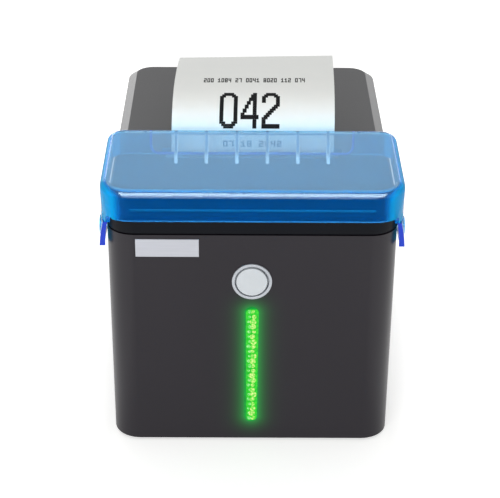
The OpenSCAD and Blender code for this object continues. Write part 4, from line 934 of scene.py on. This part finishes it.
def buildRockerMarks():
    size = rockerMarks
    mesh = bmesh.new()
    axis = Vector(size["axis"])
    for mark in ("top", "low"):
        run = Vector((axis.x, *size[mark])) - axis
        along = run.normalized()
        normal = Vector((0, abs(along.z), -along.y * copysign(1, along.z)))
        middle = axis + run * size["along"] + normal * size["lift"]
        loops = [[mesh.verts.new((middle + right * u + along * v + normal * t) * mm) for u, v, t in loop]
                 for loop in markLoops(mark)]
        for one, two in zip(loops, loops[1:]):
            wallBetween(mesh, one, two)
        if mark == "top":
            mesh.faces.new(loops[0])
            mesh.faces.new(loops[1])
        else:
            wallBetween(mesh, loops[-1], loops[0])
    faceOutward(mesh)
    pieceFromMesh("rocker_marks", mesh, "power_rocker", "black_plastic", whiteMark)


buildRockerMarks()
print("rocker marked")


# Release button with grip ribs, and the feet

releaseSize = {"outFrom": 67.4, "round": 0.4, "ribX": 67.72, "ribY": (-5.6, 4.8), "ribR": 0.28,
               "ribAround": 10, "ribZ": (103.4, 104.45, 105.5, 106.55, 107.6)}
feetSize = {"below": 0.1, "round": 0.4}


def buildRibs():
    size = releaseSize
    paths = [[(size["ribX"], y, z) for y in size["ribY"]] for z in size["ribZ"]]
    rods("release_button_ribs", paths, size["ribR"], size["ribAround"], "release_button", "deck_plastic")


roundedPiece("release_button", releaseSize["round"], beyond(right, releaseSize["outFrom"]))
buildRibs()
roundedPiece("rubber_feet", feetSize["round"], beyond(-up, -feetSize["below"]))
print("release button and feet rounded")


# Ticket: a thin curling sheet with plain print on it

ticketSize = {"width": 79.5, "thick": 0.14, "slotY": -22.0, "lowZ": 122.8, "startZ": 125.8, "reach": 39.0,
              "rise": 24.85, "power": 0.8, "tail": 26.5, "droop": 2.2, "lean": (0.35, 1.95),
              "leanPower": 1.5, "twist": 0.8, "toothPitch": 2.2, "toothDepth": 0.7, "columns": 72,
              "slotSteps": 6, "bendSteps": 60, "tailSteps": 20}


def ticketPath():
    # points (y, z) up out of the slot, over the crest and along the drooping tail
    size = ticketSize
    points = []
    for i in range(size["slotSteps"]):
        part = i / size["slotSteps"]
        points.append((size["slotY"], size["lowZ"] + (size["startZ"] - size["lowZ"]) * part))
    for i in range(size["bendSteps"] + 1):
        t = radians(90 * i / size["bendSteps"])
        points.append((size["slotY"] + size["reach"] * (1 - max(cos(t), 0) ** size["power"]),
                       size["startZ"] + size["rise"] * sin(t) ** size["power"]))
    crestY, crestZ = points[-1]
    for i in range(1, size["tailSteps"] + 1):
        part = i / size["tailSteps"]
        points.append((crestY + size["tail"] * part, crestZ - size["droop"] * part ** 2))
    return points


def pathStations():
    # arc length, point and outward normal at each step of the path
    points = ticketPath()
    rows, length = [], 0.0
    for i, (y, z) in enumerate(points):
        before = points[max(i - 1, 0)]
        after = points[min(i + 1, len(points) - 1)]
        run = Vector((after[0] - before[0], after[1] - before[1])).normalized()
        length += hypot(y - before[0], z - before[1])
        rows.append((length, y, z, -run.y, run.x))
    return rows


stations = pathStations()
ticketLength = stations[-1][0]


def onTicket(x, s, lift):
    # a place on the sheet: x across it, s along it from the low end, lift out from its printed face
    for one, two in zip(stations, stations[1:]):
        if s <= two[0] or two is stations[-1]:
            part = (s - one[0]) / (two[0] - one[0])
            break
    y, z, ny, nz = (a + (b - a) * part for a, b in zip(one[1:], two[1:]))
    start, more = ticketSize["lean"]
    far = max(s, 0) / ticketLength
    raised = ticketSize["twist"] * x / ticketSize["width"] * 2 * far ** 2
    leant = start + more * far ** ticketSize["leanPower"]
    return Vector((x + leant, y + ny * lift, z + nz * lift + raised)) * mm


def buildTicket():
    size = ticketSize
    mesh = bmesh.new()
    faces = []
    for lift in (0.0, -size["thick"]):
        grid = []
        for i in range(size["columns"] + 1):
            x = size["width"] * (i / size["columns"] - 0.5)
            longest = ticketLength - abs((x / size["toothPitch"]) % 1 - 0.5) * 2 * size["toothDepth"]
            grid.append([mesh.verts.new(onTicket(x, min(row[0], longest), lift)) for row in stations])
        faces.append(grid)
    closedSheet(mesh, *faces)
    faceOutward(mesh)
    standIn("ticket", "_sheet", mesh, crease=50, even=False)


# Rows of cells for each digit, from its top; a star gives how many rows are alike
bigDigits = {
    "0": "  #####  | ####### |###   ###|##     ##*12|###   ###| ####### |  #####  ",
    "4": "      ## |     ### *2|    #### *2|   ## ## *2|  ##  ## *2| ##   ## *2|##    ## |#########*2|"
         "      ## *4",
    "2": "  #####  | ####### |###   ###|##     ##*3|       ##|      ###|     ### |    ###  |   ###   |"
         "  ###    | ###     |###      |##       *2|#########*2"}
smallDigits = {
    "0": "###|# #*3|###", "1": " # |## | # *2|###", "2": "###|  #|###|#  |###", "4": "# #*2|###|  #*2",
    "7": "###|  #*4", "8": "###|# #|###|# #|###", " ": "   *5"}
printRows = {
    "number": {"text": "042", "glyphs": bigDigits, "left": -16.6, "top": 34.2, "cell": (0.98, 1.14),
               "gap": 1.5},
    "header": {"text": "200 1084 27 0041 8020 112 074", "glyphs": smallDigits, "left": -25.2, "top": 47.9,
               "cell": (0.46, 0.88), "gap": 0.37},
    "footer": {"text": "07 18 2042", "glyphs": smallDigits, "left": -14.6, "top": 6.6, "cell": (0.74, 0.64),
               "gap": 0.71}}
inkLayer = {"low": 0.015, "high": 0.035, "apart": 0.01, "step": 0.8}


def addMark(mesh, x0, x1, s0, s1):
    # one closed patch of print, bent to the sheet
    steps = max(1, int((s1 - s0) / inkLayer["step"]))
    along = [s0 + (s1 - s0) * k / steps for k in range(steps + 1)]
    faces = [[[mesh.verts.new(onTicket(x, s, lift)) for x in (x0, x1)] for s in along]
             for lift in (inkLayer["high"], inkLayer["low"])]
    closedSheet(mesh, *faces)


def addGlyph(mesh, rows, left, top, cell):
    # each row of cells becomes patches as long as its runs
    for row in rows.split("|"):
        line, star, repeat = row.partition("*")
        tall = cell[1] * int(repeat or 1)
        start = None
        for i, mark in enumerate(line + " "):
            if mark == "#" and start is None:
                start = i
            if mark == " " and start is not None:
                addMark(mesh, left + start * cell[0], left + i * cell[0],
                        top - tall + inkLayer["apart"], top - inkLayer["apart"])
                start = None
        top -= tall
    return left + len(line) * cell[0]


def buildPrint():
    mesh = bmesh.new()
    for row in printRows.values():
        left = row["left"]
        for letter in row["text"]:
            left = addGlyph(mesh, row["glyphs"][letter], left, row["top"], row["cell"]) + row["gap"]
    faceOutward(mesh)
    pieceFromMesh("ticket_print", mesh, "ticket", "paper", ink)


buildTicket()
buildPrint()
print("ticket built, length along its path", round(ticketLength, 1), "mm")


# Floor, backdrop and studio light; places and sizes are in metres here

studio = {"floor": "#e6e6e4", "floorSize": 3.0, "floorLift": 0.52, "sideLift": 1.0, "sideFrom": 0.07,
          "sideTo": 0.11, "sky": 0.43, "aim": (0, 0, 0.08)}


def seenRays(add):
    # 1 for rays that show the surroundings to the camera, straight or by way of gloss and glass
    ray = add("LightPath", {}).outputs
    seen = add("Math", {0: ray["Is Camera Ray"], 1: ray["Is Glossy Ray"]}, "MAXIMUM")
    shown = add("Math", {0: seen, 1: ray["Is Transmission Ray"]}, "MAXIMUM")
    direct = add("Math", {0: ray["Diffuse Depth"], 1: 0.5}, "LESS_THAN")
    return add("Math", {0: shown, 1: direct}, "MULTIPLY")


def makeFloor():
    material, add, skin, place = newMaterial("pale_matt_floor")
    across = add("SeparateXYZ", {"Vector": place}).outputs["X"]
    out = add("Math", {0: across}, "ABSOLUTE")
    sides = add("MapRange", {
        "Value": out, 1: studio["sideFrom"], 2: studio["sideTo"], 3: studio["floorLift"],
        4: studio["sideLift"]})
    lift = add("Math", {0: seenRays(add), 1: sides}, "MULTIPLY")
    setInputs(skin, {
        "Base Color": studio["floor"], "Roughness": 0.9, "Specular IOR Level": 0.1,
        "Emission Color": "#ffffff", "Emission Strength": lift})
    mesh = bmesh.new()
    bmesh.ops.create_grid(mesh, x_segments=8, y_segments=8, size=studio["floorSize"])
    meshObject("studio_floor", mesh, [material])


def makeSky():
    world = bpy.data.worlds.new("white_studio")
    scene.world = world
    world.use_nodes = True
    add = partial(addNode, world.node_tree)
    level = add("MapRange", {"Value": seenRays(add), 3: studio["sky"], 4: 1.0})
    setInputs(world.node_tree.nodes["Background"], {"Color": "#ffffff", "Strength": level})


# The reflector is set so that only the polished hood shows it, as a highlight along its front fillet
lamps = {
    "softbox_front": {"place": (-0.2, -1.1, 0.42), "size": (0.8, 0.6), "watts": 7.3},
    "softbox_overhead": {"place": (0.0, -0.05, 0.85), "size": (0.9, 0.35), "watts": 0.7},
    "softbox_rearLeft": {"place": (-0.5, 0.96, 0.33), "size": (0.5, 0.5), "watts": 2.4},
    "softbox_rearRight": {"place": (0.5, 0.96, 0.33), "size": (0.5, 0.5), "watts": 1.3},
    "reflector_hood": {"place": (0.0, -0.541, 0.769), "size": (1.1, 0.65), "watts": 46.0,
                       "aim": (0, -0.06, 0.13), "only": "splash_hood_shell"}}


def makeLamp(name, box):
    data = bpy.data.lights.new(name, "AREA")
    data.shape = "RECTANGLE"
    data.size, data.size_y = box["size"]
    data.energy = box["watts"]
    lamp = addObject(name, data)
    lamp.location = box["place"]
    way = Vector(box.get("aim", studio["aim"])) - lamp.location
    lamp.rotation_euler = way.to_track_quat("-Z", "Y").to_euler()
    if "only" in box:
        lamp.visible_diffuse = False
        lamp.visible_transmission = False
        lamp.visible_camera = False
        lit = bpy.data.collections.new("hoodOnly")
        lit.objects.link(bpy.data.objects[box["only"]])
        lamp.light_linking.receiver_collection = lit


makeFloor()
makeSky()
for name, box in lamps.items():
    makeLamp(name, box)
print("studio set")
